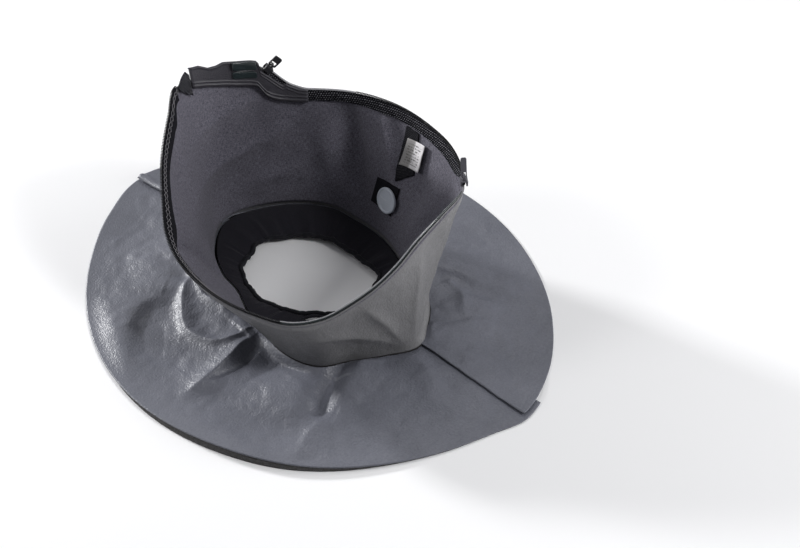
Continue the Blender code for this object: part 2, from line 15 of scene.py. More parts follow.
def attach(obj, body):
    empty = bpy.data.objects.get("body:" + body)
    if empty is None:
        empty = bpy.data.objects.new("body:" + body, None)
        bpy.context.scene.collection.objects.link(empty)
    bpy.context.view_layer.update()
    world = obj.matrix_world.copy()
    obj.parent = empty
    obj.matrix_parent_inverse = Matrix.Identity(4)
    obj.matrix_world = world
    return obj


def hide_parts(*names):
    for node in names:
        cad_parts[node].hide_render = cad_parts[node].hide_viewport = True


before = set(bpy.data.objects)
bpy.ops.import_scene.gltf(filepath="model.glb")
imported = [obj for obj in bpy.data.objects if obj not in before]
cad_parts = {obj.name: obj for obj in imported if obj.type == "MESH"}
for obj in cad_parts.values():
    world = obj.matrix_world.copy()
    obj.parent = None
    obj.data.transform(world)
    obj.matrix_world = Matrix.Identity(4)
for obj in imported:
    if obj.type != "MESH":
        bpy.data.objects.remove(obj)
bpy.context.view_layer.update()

# ================================================================ shapes shared with the solids
GAP = 0.0004
AXIS_X = 0.00525
AXIS_Y = 0.00217
# (angle, radius) of the hem
HEM = (
    (-180, 0.2425), (-160, 0.247), (-140, 0.257), (-120, 0.265),
    (-103, 0.275), (-90, 0.285), (-77, 0.275), (-60, 0.258),
    (-40, 0.242), (-20, 0.234), (0, 0.232), (20, 0.235), (40, 0.243),
    (60, 0.256), (77, 0.273), (90, 0.285), (103, 0.271), (120, 0.254),
    (140, 0.244), (160, 0.241),
)
CAPE_INNER_HEIGHT = 0.0110
HEM_FLAT = 0.93
SEAM_LAP = 5.0
SEAM_LIFT = 0.0030
SEAM_TAB = 0.005
# (angle, radius) of the seam between cowl and cape
RING = (
    (-163, 0.104), (-136, 0.1295), (-120, 0.129), (-104, 0.1385), (-94, 0.1495),
    (-88, 0.150), (-80, 0.1405), (-68, 0.1305), (-40, 0.104), (-18, 0.101),
    (17, 0.112), (35, 0.127), (67, 0.141), (87, 0.146),
    (107, 0.125), (125, 0.104), (142, 0.088), (160, 0.087), (180, 0.094),
)
# (angle, radius, height) of the rim line
RIM = (
    (-161, 0.1405, 0.086), (-145, 0.1435, 0.085), (-132, 0.1395, 0.088),
    (-120, 0.136, 0.099), (-109, 0.1345, 0.110), (-98, 0.132, 0.120),
    (-83, 0.132, 0.134), (-67, 0.1415, 0.1435), (-53, 0.156, 0.148),
    (-43, 0.156, 0.150), (-30, 0.1535, 0.1535), (-13, 0.1495, 0.155),
    (8, 0.151, 0.155), (25, 0.1525, 0.155), (44, 0.151, 0.1565),
    (49, 0.152, 0.1605), (53, 0.1535, 0.167), (61.5, 0.157, 0.189),
    (68, 0.1595, 0.191), (82, 0.1625, 0.197), (93, 0.163, 0.204),
    (103, 0.161, 0.206), (109, 0.157, 0.190), (120, 0.154, 0.166),
    (130, 0.151, 0.150), (139, 0.150, 0.132), (146, 0.151, 0.116),
    (153, 0.149, 0.104), (162, 0.1445, 0.0945), (171, 0.142, 0.0915),
    (180, 0.141, 0.0895),
)
WALL_FOOT = 0.0162
WALL_BUILD_UP = 0.0041
EDGE_DROP = 0.0040
SHELL_OFFSET = 0.0035
LINING_OFFSET = 0.0019
TAPE_WIDTH = 0.013
TAPE_TOP_DROP = 0.0020
COIL_RADIUS = 0.0015
HOLE_HALF_WIDTH = 0.0613
HOLE_HALF_DEPTH = 0.0738
HOLE_TURN = 16.5
HOLE_ASIDE = 0.0080
HOLE_SETBACK = 0.0163
COLLAR_OUTER_HEIGHT = 0.0130
COLLAR_INNER_HEIGHT = 0.0080
ELASTIC_RADIUS = 0.0022
TAUT_SIDE = -20.0                  # the hole is pulled straight on this side
BINDING_HEIGHT = 0.0078
BINDING_WIDTH = 0.010
PLATE_THICKNESS = 0.0026
PLATE_OFFSET = -0.0022
PLATE_TOP = (
    (44, 0.1525), (48, 0.1545), (52, 0.1595), (56, 0.1680), (60.5, 0.1795),
    (62.8, 0.1850), (64, 0.1975), (66, 0.1990), (72, 0.2020), (77.5, 0.2060),
    (80.5, 0.2050), (84, 0.2065), (88, 0.2140), (92.4, 0.2174),
)
PLATE_BOTTOM = (
    (44, 0.1415), (50, 0.1428), (55, 0.1451), (58.6, 0.1487), (61.2, 0.1532),
    (62.8, 0.1593), (64.3, 0.1655), (66.1, 0.1672), (72.4, 0.1718), (81.8, 0.1806),
    (92.4, 0.1925),
)
GUSSET_TOP = ((93, 0.2100), (94.6, 0.2160), (97, 0.2130), (99.8, 0.2070))
GUSSET_BOTTOM = ((93, 0.1850), (95, 0.1900), (97.5, 0.1960), (99.8, 0.2010))
BAR_SPAN = (64.2, 74.5)
BAR_HEIGHT = 0.0098
BAR_THICKNESS = 0.0030
BAR_TOP_DROP = 0.0004
PAD_HEIGHT = 0.0080
PAD_THICKNESS = 0.0012
SLOT_GAP = 0.0022
# corners are (angle, height): foot at the rear, foot at the front, top front, top rear
STRAP_CORNERS = ((-4.6, 0.080), (-15.0, 0.099), (-10.0, 0.1405), (-2.0, 0.1405))
LABEL_CORNERS = ((-5.0, 0.1006), (-18.6, 0.1069), (-17.0, 0.1355), (-4.9, 0.1299))
PATCH_CORNERS = ((9.9, 0.0435), (-7.8, 0.0425), (-8.8, 0.0755), (7.8, 0.0725))
SNAP_ANGLE = -2.7
SNAP_HEIGHT = 0.056
SNAP_RADIUS = 0.0150
SNAP_THICKNESS = 0.0032

# ================================================================ folds
# Each fold, in millimetres: path of (angle, radius, height), half width on the path's left and
# right, edge radius
CAPE_FOLDS = (
    # crisp ridge that curls round a hollow facet beside the cowl at the left
    (((126, 122, 1), (130, 134, 4), (137.5, 140.5, 5.5), (147.4, 145, 5.6), (156.1, 149, 5.6),
      (162, 148, 5.6), (168.3, 142, 5.8), (174, 134, 6), (178.5, 119, 6), (180, 105, 4)),
      13, 4.6, 0.6),
    (((146, 127, -1), (158, 129, -2), (170, 125, -2), (178, 116, -1)), 12, 12, 4),
    # small ridge along the cowl's foot
    (((128, 128, 3), (133.2, 126, 5), (143.3, 118, 6), (155.7, 103, 4)), 4.5, 6, 0.8),
    # ridge running out from the cowl towards the hem, lit on its outer side
    (((186, 104, 4), (185, 120, 9), (186, 141, 10.5), (185.8, 159, 9.5), (184.9, 178, 7),
      (183.3, 198, 1.5)), 5, 13, 0.8),
    # dark valley in front of it and the thin crease that closes the valley
    (((191, 112, -3), (190, 140, -7.5), (187.5, 165, -4)), 7, 7, 2),
    (((194, 112, 3), (193, 140, 5), (188.5, 169, 4.5), (184, 196, 1.5)), 8, 4, 0.7),
    # deep pocket under the cowl's front
    (((190, 112, -5), (201, 122, -10), (211, 127, -10), (222, 132, -5)), 12, 26, 4),
    # crest at the far left, steep on the side of its hollow
    (((128, 140, 0), (132.8, 155, 6), (139, 185, 6.4), (145.5, 202, 6.6), (152.5, 214, 6.2),
      (159.5, 223, 5.5), (168, 240, 3)), 17, 52, 2.2),
    (((142, 168, -2), (150, 180, -3.5), (160, 184, -3.5), (168, 182, -2)), 26, 14, 6),
    # folds at the front
    (((-136.5, 188, 0), (-135.9, 203, 5), (-138, 214, 5.5), (-140, 238, 4), (-141.4, 256, 1)),
      24, 9, 1.2),
    (((-156, 128, 1), (-149.5, 138, 5), (-143.7, 153, 6.5), (-141, 170, 5.5), (-139.5, 190, 3),
      (-139, 205, 0)), 9, 36, 3),
    (((-126, 128, -8.5), (-130.3, 150, -9.5), (-134, 170, -8), (-136, 190, -3)), 7.5, 6.5, 2),
    (((-117, 140, 3), (-123, 158, 4), (-128, 180, 2)), 16, 7, 2),
    (((-118, 144, 4), (-112, 175, 3), (-110.8, 215, 0)), 20, 20, 6),
    (((-97, 160, 4), (-99, 190, 4), (-106, 225, 0)), 10, 18, 2),
    # drapes at the right
    (((-37.3, 130, 4), (-43.9, 157.6, 7), (-48.6, 178, 6), (-49.5, 210.6, 4), (-48, 240, 0)),
      22, 10, 2),
    (((-64, 150, 3), (-60, 180, 6), (-62, 205, 1)), 10, 16, 2),
    (((-80.3, 147, 5), (-74, 175, 4), (-70, 205, 0)), 10, 16, 3),
    (((-50, 146, 3), (-57, 160, 4), (-66, 166, 2)), 7, 7, 1),
    (((-72, 168, 1), (-68, 186, 3), (-69, 206, 1)), 6, 8, 1),
    # behind the cowl
    (((20, 125, 4), (22, 165, 5), (26, 205, 1)), 20, 24, 6),
    (((62, 155, 3), (58, 190, 4), (60, 225, 0)), 16, 20, 5),
    (((112, 130, 4), (116, 165, 4), (122, 210, 0)), 20, 20, 6),
)
# The same on the cowl's wall, where each path is of (angle, height, outward depth)
COWL_FOLDS = (
    # soft hollow beside a ridge that leans towards the middle, behind the label
    (((30, 140, 2), (27, 125, 6.5), (23.7, 105, 9), (20.5, 75, 8), (15.3, 47, 3)), 16, 12, 3),
    (((10, 146, -3), (8.7, 131.5, -8), (3.5, 111.3, -10), (-1.2, 94.9, -6.5), (-4, 80, -1)),
      20, 8, 1.2),
    (((38, 120, -1), (36, 85, -4.5), (32, 50, -2)), 12, 14, 4),
    # slanting creases on the left side of the back
    (((112, 92, -2), (98, 88, -5), (86.8, 87, -7.5), (70.6, 96.1, -7.5), (59.6, 107.2, -6.5),
      (51.6, 121.2, -3)), 18, 7, 1),
    (((100, 135, -1), (84, 140, -4), (70, 150, -4.5), (62, 150, -2)), 10, 6, 1),
    (((72, 49, -2), (62, 53, -4.5), (55.4, 58.1, -5.5), (46.8, 79.8, -2)), 12, 8, 1.2),
    (((91, 150, 0), (88, 83, 2), (86, 40, 1)), 16, 20, 6),
    (((115, 130, 0), (112, 85, -3), (108, 40, -2)), 20, 20, 6),
    # corner where the left side turns into the front
    (((150, 100, 2), (147.7, 92, 6), (142, 80, 9), (135, 58, 10), (130, 28, 7)), 30, 16, 1),
    # creases of the outer cloth, fanning up from its corner at the front right
    (((-97, 20, 1), (-108, 40, 4), (-122, 54, 4.2), (-140, 60, 1)), 8, 13, 0.8),
    (((-96, 22, 1), (-103, 52, 4.2), (-111, 78, 3.8), (-117, 96, 0)), 6, 9, 0.8),
    (((-93, 22, 1), (-92, 56, 4.2), (-88, 92, 3.8), (-82, 120, 0)), 6, 9, 0.8),
    (((-90, 22, 1), (-81, 54, 4.2), (-71, 92, 4), (-63, 130, 0)), 5, 8, 0.8),
    (((-86, 24, 1), (-72, 50, 3.5), (-60, 84, 3.5), (-52, 120, 0)), 5, 8, 0.8),
    (((-38, 125, 0), (-33, 76, -4), (-27, 45, -2)), 14, 12, 4),
    # waist above the foot at the front right
    (((-84, 18, -9), (-76, 34, -9), (-66, 64, -4)), 16, 20, 5),
)

CRISP_EDGE = 0.0013              # a fold with a smaller edge radius falls off like a tent
CRISP_POWER = 1.1
SOFT_POWER = 1.6
LATTICE = 64                     # random values each way before the noise repeats


def around(stations, deg, column=1):
    """Smooth value at each angle, from stations that go once round the object."""
    table = np.array(stations)
    first = table[0, 0]
    turns = np.concatenate((table[-2:, 0] - 360.0, table[:, 0], table[:3, 0] + 360.0))
    values = np.concatenate((table[-2:, column], table[:, column], table[:3, column]))
    slopes = (values[2:] - values[:-2]) / (turns[2:] - turns[:-2])
    deg = (np.asarray(deg, float) - first) % 360.0 + first
    i = np.searchsorted(turns, deg, side="right") - 1
    step = turns[i + 1] - turns[i]
    u = (deg - turns[i]) / step
    rise = u * u * (3.0 - 2.0 * u)
    return (values[i] * (1.0 - rise) + values[i + 1] * rise
            + step * (slopes[i - 1] * u * (1.0 - u) ** 2 - slopes[i] * u * u * (1.0 - u)))


def along(stations, deg):
    """Value at each angle on an open edge."""
    table = np.array(stations)
    return np.interp(deg, table[:, 0], table[:, 1])


def smooth_step(x):
    x = np.clip(x, 0.0, 1.0)
    return x * x * (3.0 - 2.0 * x)


def bell(x, middle, width):
    """A smooth bump, 1 at its middle."""
    return np.exp(-((x - middle) / width) ** 2)


def half_turns(deg):
    """Angles brought between -180 and 180 degrees."""
    return (deg + 180.0) % 360.0 - 180.0


def polar(deg, radius, height):
    angle = np.radians(deg)
    parts = np.broadcast_arrays(AXIS_X + radius * np.cos(angle),
                                AXIS_Y + radius * np.sin(angle), height)
    return np.stack(parts, -1)


def smooth_path(points, step=0.125):
    """Points of a smooth curve through a path's own points (Catmull-Rom)."""
    p = np.array(points, float)
    p = np.vstack((2 * p[0] - p[1], p, 2 * p[-1] - p[-2]))
    line = []
    for i in range(1, len(p) - 2):
        for u in np.arange(0.0, 1.0, step):
            line.append(0.5 * (2 * p[i] + (p[i + 1] - p[i - 1]) * u
                               + (2 * p[i - 1] - 5 * p[i] + 4 * p[i + 1] - p[i + 2]) * u ** 2
                               + (3 * p[i] - p[i - 1] - 3 * p[i + 1] + p[i + 2]) * u ** 3))
    line.append(p[-2])
    return np.array(line)


def fold_height(x, y, path, left, right, edge):
    """Height of a fold: full along its path, falling off over a half width on each side."""
    nearest = np.full(np.shape(x), np.inf)
    height = np.zeros(np.shape(x))
    side = np.zeros(np.shape(x))
    for (xa, ya, za), (xb, yb, zb) in zip(path, path[1:]):
        dx, dy = xb - xa, yb - ya
        t = np.clip(((x - xa) * dx + (y - ya) * dy) / (dx * dx + dy * dy), 0.0, 1.0)
        away = np.hypot(x - xa - t * dx, y - ya - t * dy)
        closer = away < nearest
        nearest = np.where(closer, away, nearest)
        height = np.where(closer, za + (zb - za) * t, height)
        side = np.where(closer, dx * (y - ya) - dy * (x - xa), side)
    width = np.where(side > 0.0, left, right)
    away = np.sqrt(nearest ** 2 + edge ** 2) - edge
    return height * np.exp(-(away / width) ** (CRISP_POWER if edge < CRISP_EDGE else SOFT_POWER))


def fold_lines(folds, place):
    """Smooth lines of a table's folds in metres, each with its two half widths and edge radius."""
    lines = []
    for path, *widths in folds:
        points = [(*place(math.radians(a), b / 1000), height / 1000) for a, b, height in path]
        lines.append((smooth_path(points), *(width / 1000 for width in widths)))
    return lines


def folded(x, y, lines):
    """Height of all the folds together."""
    height = np.zeros(np.shape(x))
    for line in lines:
        height = height + fold_height(x, y, *line)
    return height


def value_noise(x, y, cell, seed):
    """Smooth noise from -1 to 1 over a plane, with bumps about a cell wide."""
    lattice = np.random.RandomState(seed).uniform(-1.0, 1.0, (LATTICE, LATTICE))
    u, v = np.asarray(x) / cell, np.asarray(y) / cell
    i, j = np.floor(u).astype(int), np.floor(v).astype(int)
    a, b = smooth_step(u - i), smooth_step(v - j)
    i0, i1, j0, j1 = i % LATTICE, (i + 1) % LATTICE, j % LATTICE, (j + 1) % LATTICE
    low = lattice[i0, j0] * (1 - a) + lattice[i1, j0] * a
    high = lattice[i0, j1] * (1 - a) + lattice[i1, j1] * a
    return low * (1 - b) + high * b


def ring_noise(deg, size, scale, shift, seed):
    """Noise round a closed ring; shift moves it to a part of the lattice of its own."""
    x, y = np.cos(np.radians(deg)), np.sin(np.radians(deg))
    return size * value_noise(x * scale + shift, y * scale + shift, 1.0, seed)


# ================================================================ the wall
WALL_RADIUS = 0.143              # turns an angle into a length along the wall
FOLD_FADE = 0.020                # folds die out this far below the rim
FOLD_FOOT = 0.012                # and grow from nothing at this height
FOLD_FOOT_FADE = 0.018           # over this much of the wall
PROBE_TURN = 1.0                 # steps for measuring the wall's slope
PROBE_RISE = 0.002
COWL_LINES = fold_lines(COWL_FOLDS, lambda angle, height: (angle * WALL_RADIUS, height))


def rim_height(deg):
    return around(RIM, deg, 2)


def rim_slope(deg):
    """Length along the rim per length round the axis."""
    after, before = deg + PROBE_TURN, deg - PROBE_TURN
    step = polar(after, around(RIM, after), 0.0) - polar(before, around(RIM, before), 0.0)
    rise = rim_height(after) - rim_height(before)
    return np.sqrt(1.0 + (rise / np.linalg.norm(step, axis=-1)) ** 2)


def wall_middle(deg, height):
    share = (height - WALL_FOOT) / (rim_height(deg) - WALL_FOOT)
    foot = around(RING, deg) - WALL_BUILD_UP
    return polar(deg, foot + (around(RIM, deg) - foot) * share, height)


def wall_normal(deg, height):
    across = wall_middle(deg + PROBE_TURN, height) - wall_middle(deg - PROBE_TURN, height)
    up = wall_middle(deg, height + PROBE_RISE) - wall_middle(deg, height - PROBE_RISE)
    normal = np.cross(across, up)
    return normal / np.linalg.norm(normal, axis=-1, keepdims=True)


def cowl_fold(deg, height):
    """How far the soft wall stands out from its plain surface."""
    deg = half_turns(np.asarray(deg, float))
    x, y = np.broadcast_arrays(np.radians(deg) * WALL_RADIUS, height)
    depth = folded(x, y, COWL_LINES)
    depth = depth + 0.0008 * value_noise(x + 1.0, y * 0.6 + 1.0, 0.022, 3)
    depth = depth + 0.0003 * value_noise(x + y + 1.0, y - x + 2.0, 0.009, 4)
    depth = depth * smooth_step((rim_height(deg) - height) / FOLD_FADE)
    return depth * smooth_step((y - FOLD_FOOT) / FOLD_FOOT_FADE)


def wall_point(deg, height, offset=0.0):
    deg, height = np.broadcast_arrays(np.asarray(deg, float), np.asarray(height, float))
    out = np.asarray(offset + cowl_fold(deg, height))
    return wall_middle(deg, height) + wall_normal(deg, height) * out[..., None]


def wall_frame(deg, height, offset=0.0):
    """Placement on the wall: X along it anticlockwise, Y inwards, Z up the wall."""
    turn = PROBE_TURN / 2
    across = Vector(wall_point(deg + turn, height) - wall_point(deg - turn, height)).normalized()
    up = Vector(wall_point(deg, height + PROBE_RISE) - wall_point(deg, height - PROBE_RISE)).normalized()
    inward = up.cross(across).normalized()
    up = across.cross(inward)
    place = Matrix((across, inward, up)).transposed().to_4x4()
    middle = Vector(wall_point(deg, height)) - inward * offset
    return Matrix.Translation(middle) @ place


def rim_point(deg):
    return wall_point(deg, rim_height(deg))


# ================================================================ mesh helpers
def rows(count):
    """Shares from 0 to 1, one for each row of a grid."""
    return np.linspace(0.0, 1.0, count)[:, None]


def grid_uv(u, v):
    return np.stack(np.broadcast_arrays(u, v), -1)


def flat_uv(width, height, count):
    """Texture place in metres on a small rectangular sheet."""
    return grid_uv(np.linspace(0, width, count)[None, :], np.linspace(0, height, count)[:, None])


def wall_uv(degs, heights):
    return grid_uv(np.radians(degs) * WALL_RADIUS, heights)


def new_object(name, vertices, faces, look, uvs=None):
    data = bpy.data.meshes.new(name)
    data.from_pydata([tuple(v) for v in vertices], [], faces)
    if uvs is not None:
        layer = data.uv_layers.new(name="UVMap")
        index = np.zeros(len(data.loops), np.int32)
        data.loops.foreach_get("vertex_index", index)
        layer.data.foreach_set("uv", np.asarray(uvs, np.float32)[index].ravel())
    data.shade_smooth()
    data.materials.append(look)
    made = bpy.data.objects.new(name, data)
    bpy.context.scene.collection.objects.link(made)
    return made


def finish_piece(made, nodes):
    """Every new piece rides on the shroud; nodes are the solids that it stands for."""
    if nodes:
        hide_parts(*nodes)
    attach(made, "shroud")
    return made


def sheet_piece(name, points, look, uv, thickness, side, nodes, closed=False, drop=None):
    """A grid of points (rows, columns, 3) as one sheet with a thickness.

    side is -1, 0 or 1: thickness behind, about or before the grid. drop marks faces left out.
    """
    count, columns = points.shape[:2]
    faces = []
    for r in range(count - 1):
        for c in range(columns if closed else columns - 1):
            d = (c + 1) % columns
            if drop is None or not drop[r, c]:
                faces.append((r * columns + c, r * columns + d,
                              (r + 1) * columns + d, (r + 1) * columns + c))
    made = new_object(name, points.reshape(-1, 3), faces, look, uv.reshape(-1, 2))
    solid = made.modifiers.new("Thickness", "SOLIDIFY")
    solid.thickness = thickness
    solid.offset = side
    return finish_piece(made, nodes)


def tube_faces(count, sides, first=0, cyclic=False):
    """Faces of a tube of rings of points, with both ends capped unless it is a loop."""
    faces = []
    for i in range(count if cyclic else count - 1):
        j = (i + 1) % count
        for s in range(sides):
            t = (s + 1) % sides
            faces.append((i * sides + s, j * sides + s, j * sides + t, i * sides + t))
    if not cyclic:
        faces.append(tuple(range(sides)))
        faces.append(tuple((count - 1) * sides + s for s in range(sides - 1, -1, -1)))
    return [tuple(first + corner for corner in face) for face in faces]


def tube_piece(name, path, radius, look, nodes, sides=6, cyclic=False, facing=None):
    """A round cord along a path; radius may change from point to point."""
    path = np.asarray(path, float)
    count = len(path)
    if cyclic:
        tangent = np.roll(path, -1, 0) - np.roll(path, 1, 0)
    else:
        tangent = np.gradient(path, axis=0)
    tangent /= np.linalg.norm(tangent, axis=1, keepdims=True)
    guide = np.tile((0.0, 0.0, 1.0), (count, 1)) if facing is None else facing
    side = np.cross(tangent, guide)
    side /= np.linalg.norm(side, axis=1, keepdims=True)
    top = np.cross(side, tangent)
    turn = np.arange(sides) * 2.0 * math.pi / sides
    width = np.broadcast_to(radius, (count,))[:, None, None]
    ring = side[:, None] * np.cos(turn)[None, :, None] + top[:, None] * np.sin(turn)[None, :, None]
    points = path[:, None] + ring * width
    made = new_object(name, points.reshape(-1, 3), tube_faces(count, sides, cyclic=cyclic), look)
    return finish_piece(made, nodes)


def turned_mesh(name, profile, place, look, sides=64):
    """A turned shape from a profile of (radius, height), closed at both ends on its axis."""
    vertices = []
    for radius, height in profile:
        for angle in np.arange(sides) * 2.0 * math.pi / sides:
            vertices.append(place @ Vector((radius * math.cos(angle), radius * math.sin(angle), height)))
    faces = [face[::-1] for face in tube_faces(len(profile), sides)]
    made = new_object(name, vertices, faces, look)
    made.data.set_sharp_from_angle(angle=math.radians(50))
    return made


# ================================================================ materials
NOISE_RANGE = (0.3, 0.7)         # values that noise mostly stays between


class Look:
    """A material being put together from nodes; scales are bumps or waves per metre."""

    def __init__(self, name, colour, roughness, **settings):
        self.material = bpy.data.materials.new(name)
        self.material.use_nodes = True
        self.tree = self.material.node_tree
        self.shader = self.tree.nodes["Principled BSDF"]
        self.shader.inputs["Base Color"].default_value = (*colour, 1.0)
        self.shader.inputs["Roughness"].default_value = roughness
        self.give(**settings)

    def set(self, socket, value):
        if isinstance(value, bpy.types.NodeSocket):
            self.tree.links.new(value, socket)
        else:
            socket.default_value = value

    def node(self, kind, inputs, **settings):
        """A new node; inputs are values or other nodes' outputs, by socket."""
        made = self.tree.nodes.new(kind)
        for key, value in settings.items():
            setattr(made, key, value)
        for socket, value in inputs.items():
            self.set(made.inputs[socket], value)
        return made

    def coords(self, kind="Object", scale=(1.0, 1.0, 1.0), turn=0.0):
        place = self.node("ShaderNodeTexCoord", {}).outputs[kind]
        turned = (0.0, 0.0, math.radians(turn))
        made = self.node("ShaderNodeMapping", {"Vector": place, "Scale": scale, "Rotation": turned})
        return made.outputs["Vector"]

    def noise(self, coords, scale, detail=2.0, roughness=0.5):
        made = self.node("ShaderNodeTexNoise", {"Vector": coords, "Scale": scale,
                                                "Detail": detail, "Roughness": roughness})
        return made.outputs["Fac"]

    def threads(self, u, v):
        """Noise drawn out along one thread of a sheet."""
        return self.noise(self.coords("UV", (u, v, 1.0)), 1.0, 2.0, 0.7)

    def cells(self, coords, scale, feature="F1"):
        made = self.node("ShaderNodeTexVoronoi", {"Vector": coords, "Scale": scale}, feature=feature)
        return made.outputs["Distance"]

    def math(self, operation, a, b=0.0):
        return self.node("ShaderNodeMath", {0: a, 1: b}, operation=operation).outputs[0]

    def times(self, a, b):
        return self.math("MULTIPLY", a, b)

    def span(self, value, low, high, new_low=0.0, new_high=1.0):
        given = dict(enumerate((value, low, high, new_low, new_high)))
        return self.node("ShaderNodeMapRange", given).outputs[0]

    def vary(self, noise, new_low=0.0, new_high=1.0):
        return self.span(noise, *NOISE_RANGE, new_low, new_high)

    def mix(self, factor, a, b):
        a, b = (c if isinstance(c, bpy.types.NodeSocket) else (*c, 1.0) for c in (a, b))
        return self.node("ShaderNodeMix", {"Factor": factor, 6: a, 7: b}, data_type="RGBA").outputs[2]

    def axis(self, coords, index):
        return self.node("ShaderNodeSeparateXYZ", {0: coords}).outputs[index]

    def weave(self, coords, pitch_u, pitch_v):
        """Height of a plain weave of threads this far apart, from 0 to 1."""
        u = self.math("SINE", self.times(self.axis(coords, 0), math.pi / pitch_u))
        v = self.math("SINE", self.times(self.axis(coords, 1), math.pi / pitch_v))
        return self.math("MULTIPLY_ADD", self.times(u, v), 0.5)

    def bump(self, height, distance, strength=1.0, over=None):
        made = self.node("ShaderNodeBump", {"Height": height, "Distance": distance,
                                            "Strength": strength})
        if over is not None:
            self.set(made.inputs["Normal"], over)
        return made.outputs["Normal"]

    def give(self, **sockets):
        for key, value in sockets.items():
            self.set(self.shader.inputs[key.replace("_", " ")], value)
        return self.material


RUBBED_GREY = (0.30, 0.31, 0.34)
WARP_TONES = ((0.022, 0.021, 0.030), (0.265, 0.255, 0.312))
WEFT_TONES = ((0.019, 0.018, 0.026), (0.245, 0.236, 0.288))
LINING_TONE = (0.060, 0.058, 0.074)
LINING_PITCH = 0.0009
TAPE_BLACK = (0.010, 0.010, 0.013)
TWILL_TURN = 33.0
BARE_METAL = (0.14, 0.14, 0.15)
LABEL_TONES = ((0.66, 0.64, 0.66), (0.82, 0.80, 0.81))
LABEL_INK = (0.06, 0.06, 0.07)
LABEL_SHADE = (0.10, 0.095, 0.085)


def coated_cloth(name, dark, light, rough, grain=0.00045):
    """Woven cloth under a thin coating: sparkling grain, mottled shine and faint rubbed patches."""
    look = Look(name, dark, rough, Specular_IOR_Level=0.5)
    place = look.coords()
    broad = look.noise(place, 14.0, 3.0)
    patch = look.noise(place, 60.0, 4.0, 0.6)
    fine = look.noise(place, 420.0, 2.0, 0.6)
    pebble = look.cells(place, 520.0)
    tone = look.math("ADD", look.times(broad, 0.7), look.times(patch, 0.3))
    colour = look.mix(look.vary(tone), dark, light)
    grey = look.mix(look.vary(fine, 0.0, 0.12), colour, RUBBED_GREY)
    shine = look.span(look.math("ADD", fine, look.times(patch, 0.5)), 0.5, 1.0,
                      rough + 0.10, rough - 0.08)
    height = look.math("SUBTRACT", fine, look.times(pebble, 0.6))
    normal = look.bump(height, grain, 0.9, look.bump(patch, 0.0006, 0.35))
    return look.give(Base_Color=grey, Roughness=shine, Normal=normal)


def heather_cloth():
    """Lining: a plain weave of mixed dark and light grey threads."""
    look = Look("lining_cloth", (0.05, 0.048, 0.06), 0.92, Specular_IOR_Level=0.25,
                Sheen_Weight=0.12, Sheen_Roughness=0.5)
    weave = look.weave(look.coords("UV"), LINING_PITCH, LINING_PITCH)
    warp = look.mix(look.vary(look.threads(300.0, 1050.0)), *WARP_TONES)
    weft = look.mix(look.vary(look.threads(1150.0, 230.0)), *WEFT_TONES)
    broad = look.noise(look.coords(), 18.0, 3.0)
    colour = look.mix(look.vary(broad, 0.0, 0.30), look.mix(weave, warp, weft), LINING_TONE)
    fuzz = look.noise(look.coords(), 2400.0, 1.0)
    height = look.math("ADD", weave, look.times(fuzz, 0.5))
    return look.give(Base_Color=colour, Normal=look.bump(height, 0.0004, 0.8))


def knit_cloth(name, colour):
    """Stretch knit: rows of small loops, matt and nearly black."""
    look = Look(name, colour, 0.9, Specular_IOR_Level=0.25, Sheen_Weight=0.08, Sheen_Roughness=0.4)
    loops = look.weave(look.coords("UV"), 0.0012, 0.0008)
    fuzz = look.noise(look.coords(), 900.0, 3.0)
    light = tuple(c * 2.4 for c in colour)
    tint = look.mix(look.span(look.times(loops, fuzz), 0.1, 0.6), colour, light)
    return look.give(Base_Color=tint, Normal=look.bump(look.math("ADD", loops, fuzz), 0.0004, 0.8))


def woven_tape(name="woven_tape", pitch=0.0016, light=0.055, low=0.25, high=0.60):
    """Ribbed polyester tape with a slanting twill; threads between low and high are pale."""
    look = Look(name, (0.013, 0.013, 0.016), 0.9, Specular_IOR_Level=0.05)
    twill = look.weave(look.coords("UV", turn=TWILL_TURN), pitch, pitch * 0.55)
    fuzz = look.noise(look.coords(), 1500.0, 2.0)
    tint = look.mix(look.span(look.times(twill, fuzz), low, high),
                    TAPE_BLACK, (light, light, light * 1.08))
    return look.give(Base_Color=tint, Normal=look.bump(twill, 0.0005, 0.9))


def moulding(name, colour, rough, grain_size, grain_depth, specular=0.5):
    """Grained plastic with paler rubbed patches and faint scuffs."""
    look = Look(name, colour, rough, Specular_IOR_Level=specular)
    grain = look.cells(look.coords(), grain_size, "SMOOTH_F1")
    scuff = look.noise(look.coords(scale=(1.0, 1.0, 4.0)), 90.0, 5.0, 0.7)
    worn = look.span(scuff, 0.56, 0.80, 0.0, 0.5)
    tint = look.mix(worn, colour, tuple(min(1.0, c * 2.2) for c in colour))
    shine = look.span(scuff, 0.3, 0.8, rough - 0.06, rough + 0.15)
    return look.give(Base_Color=tint, Roughness=shine, Normal=look.bump(grain, grain_depth, 0.8))


def painted_metal(name, colour):
    """Enamel on die-cast metal, worn to bare metal in small spots."""
    look = Look(name, colour, 0.35, Metallic=0.0)
    place = look.coords()
    wear = look.noise(place, 420.0, 4.0, 0.7)
    bare = look.span(wear, 0.60, 0.72)
    return look.give(Base_Color=look.mix(bare, colour, BARE_METAL), Metallic=look.times(bare, 0.8),
                     Roughness=look.vary(wear, 0.42, 0.26),
                     Normal=look.bump(look.noise(place, 900.0, 2.0), 0.00008, 0.6))


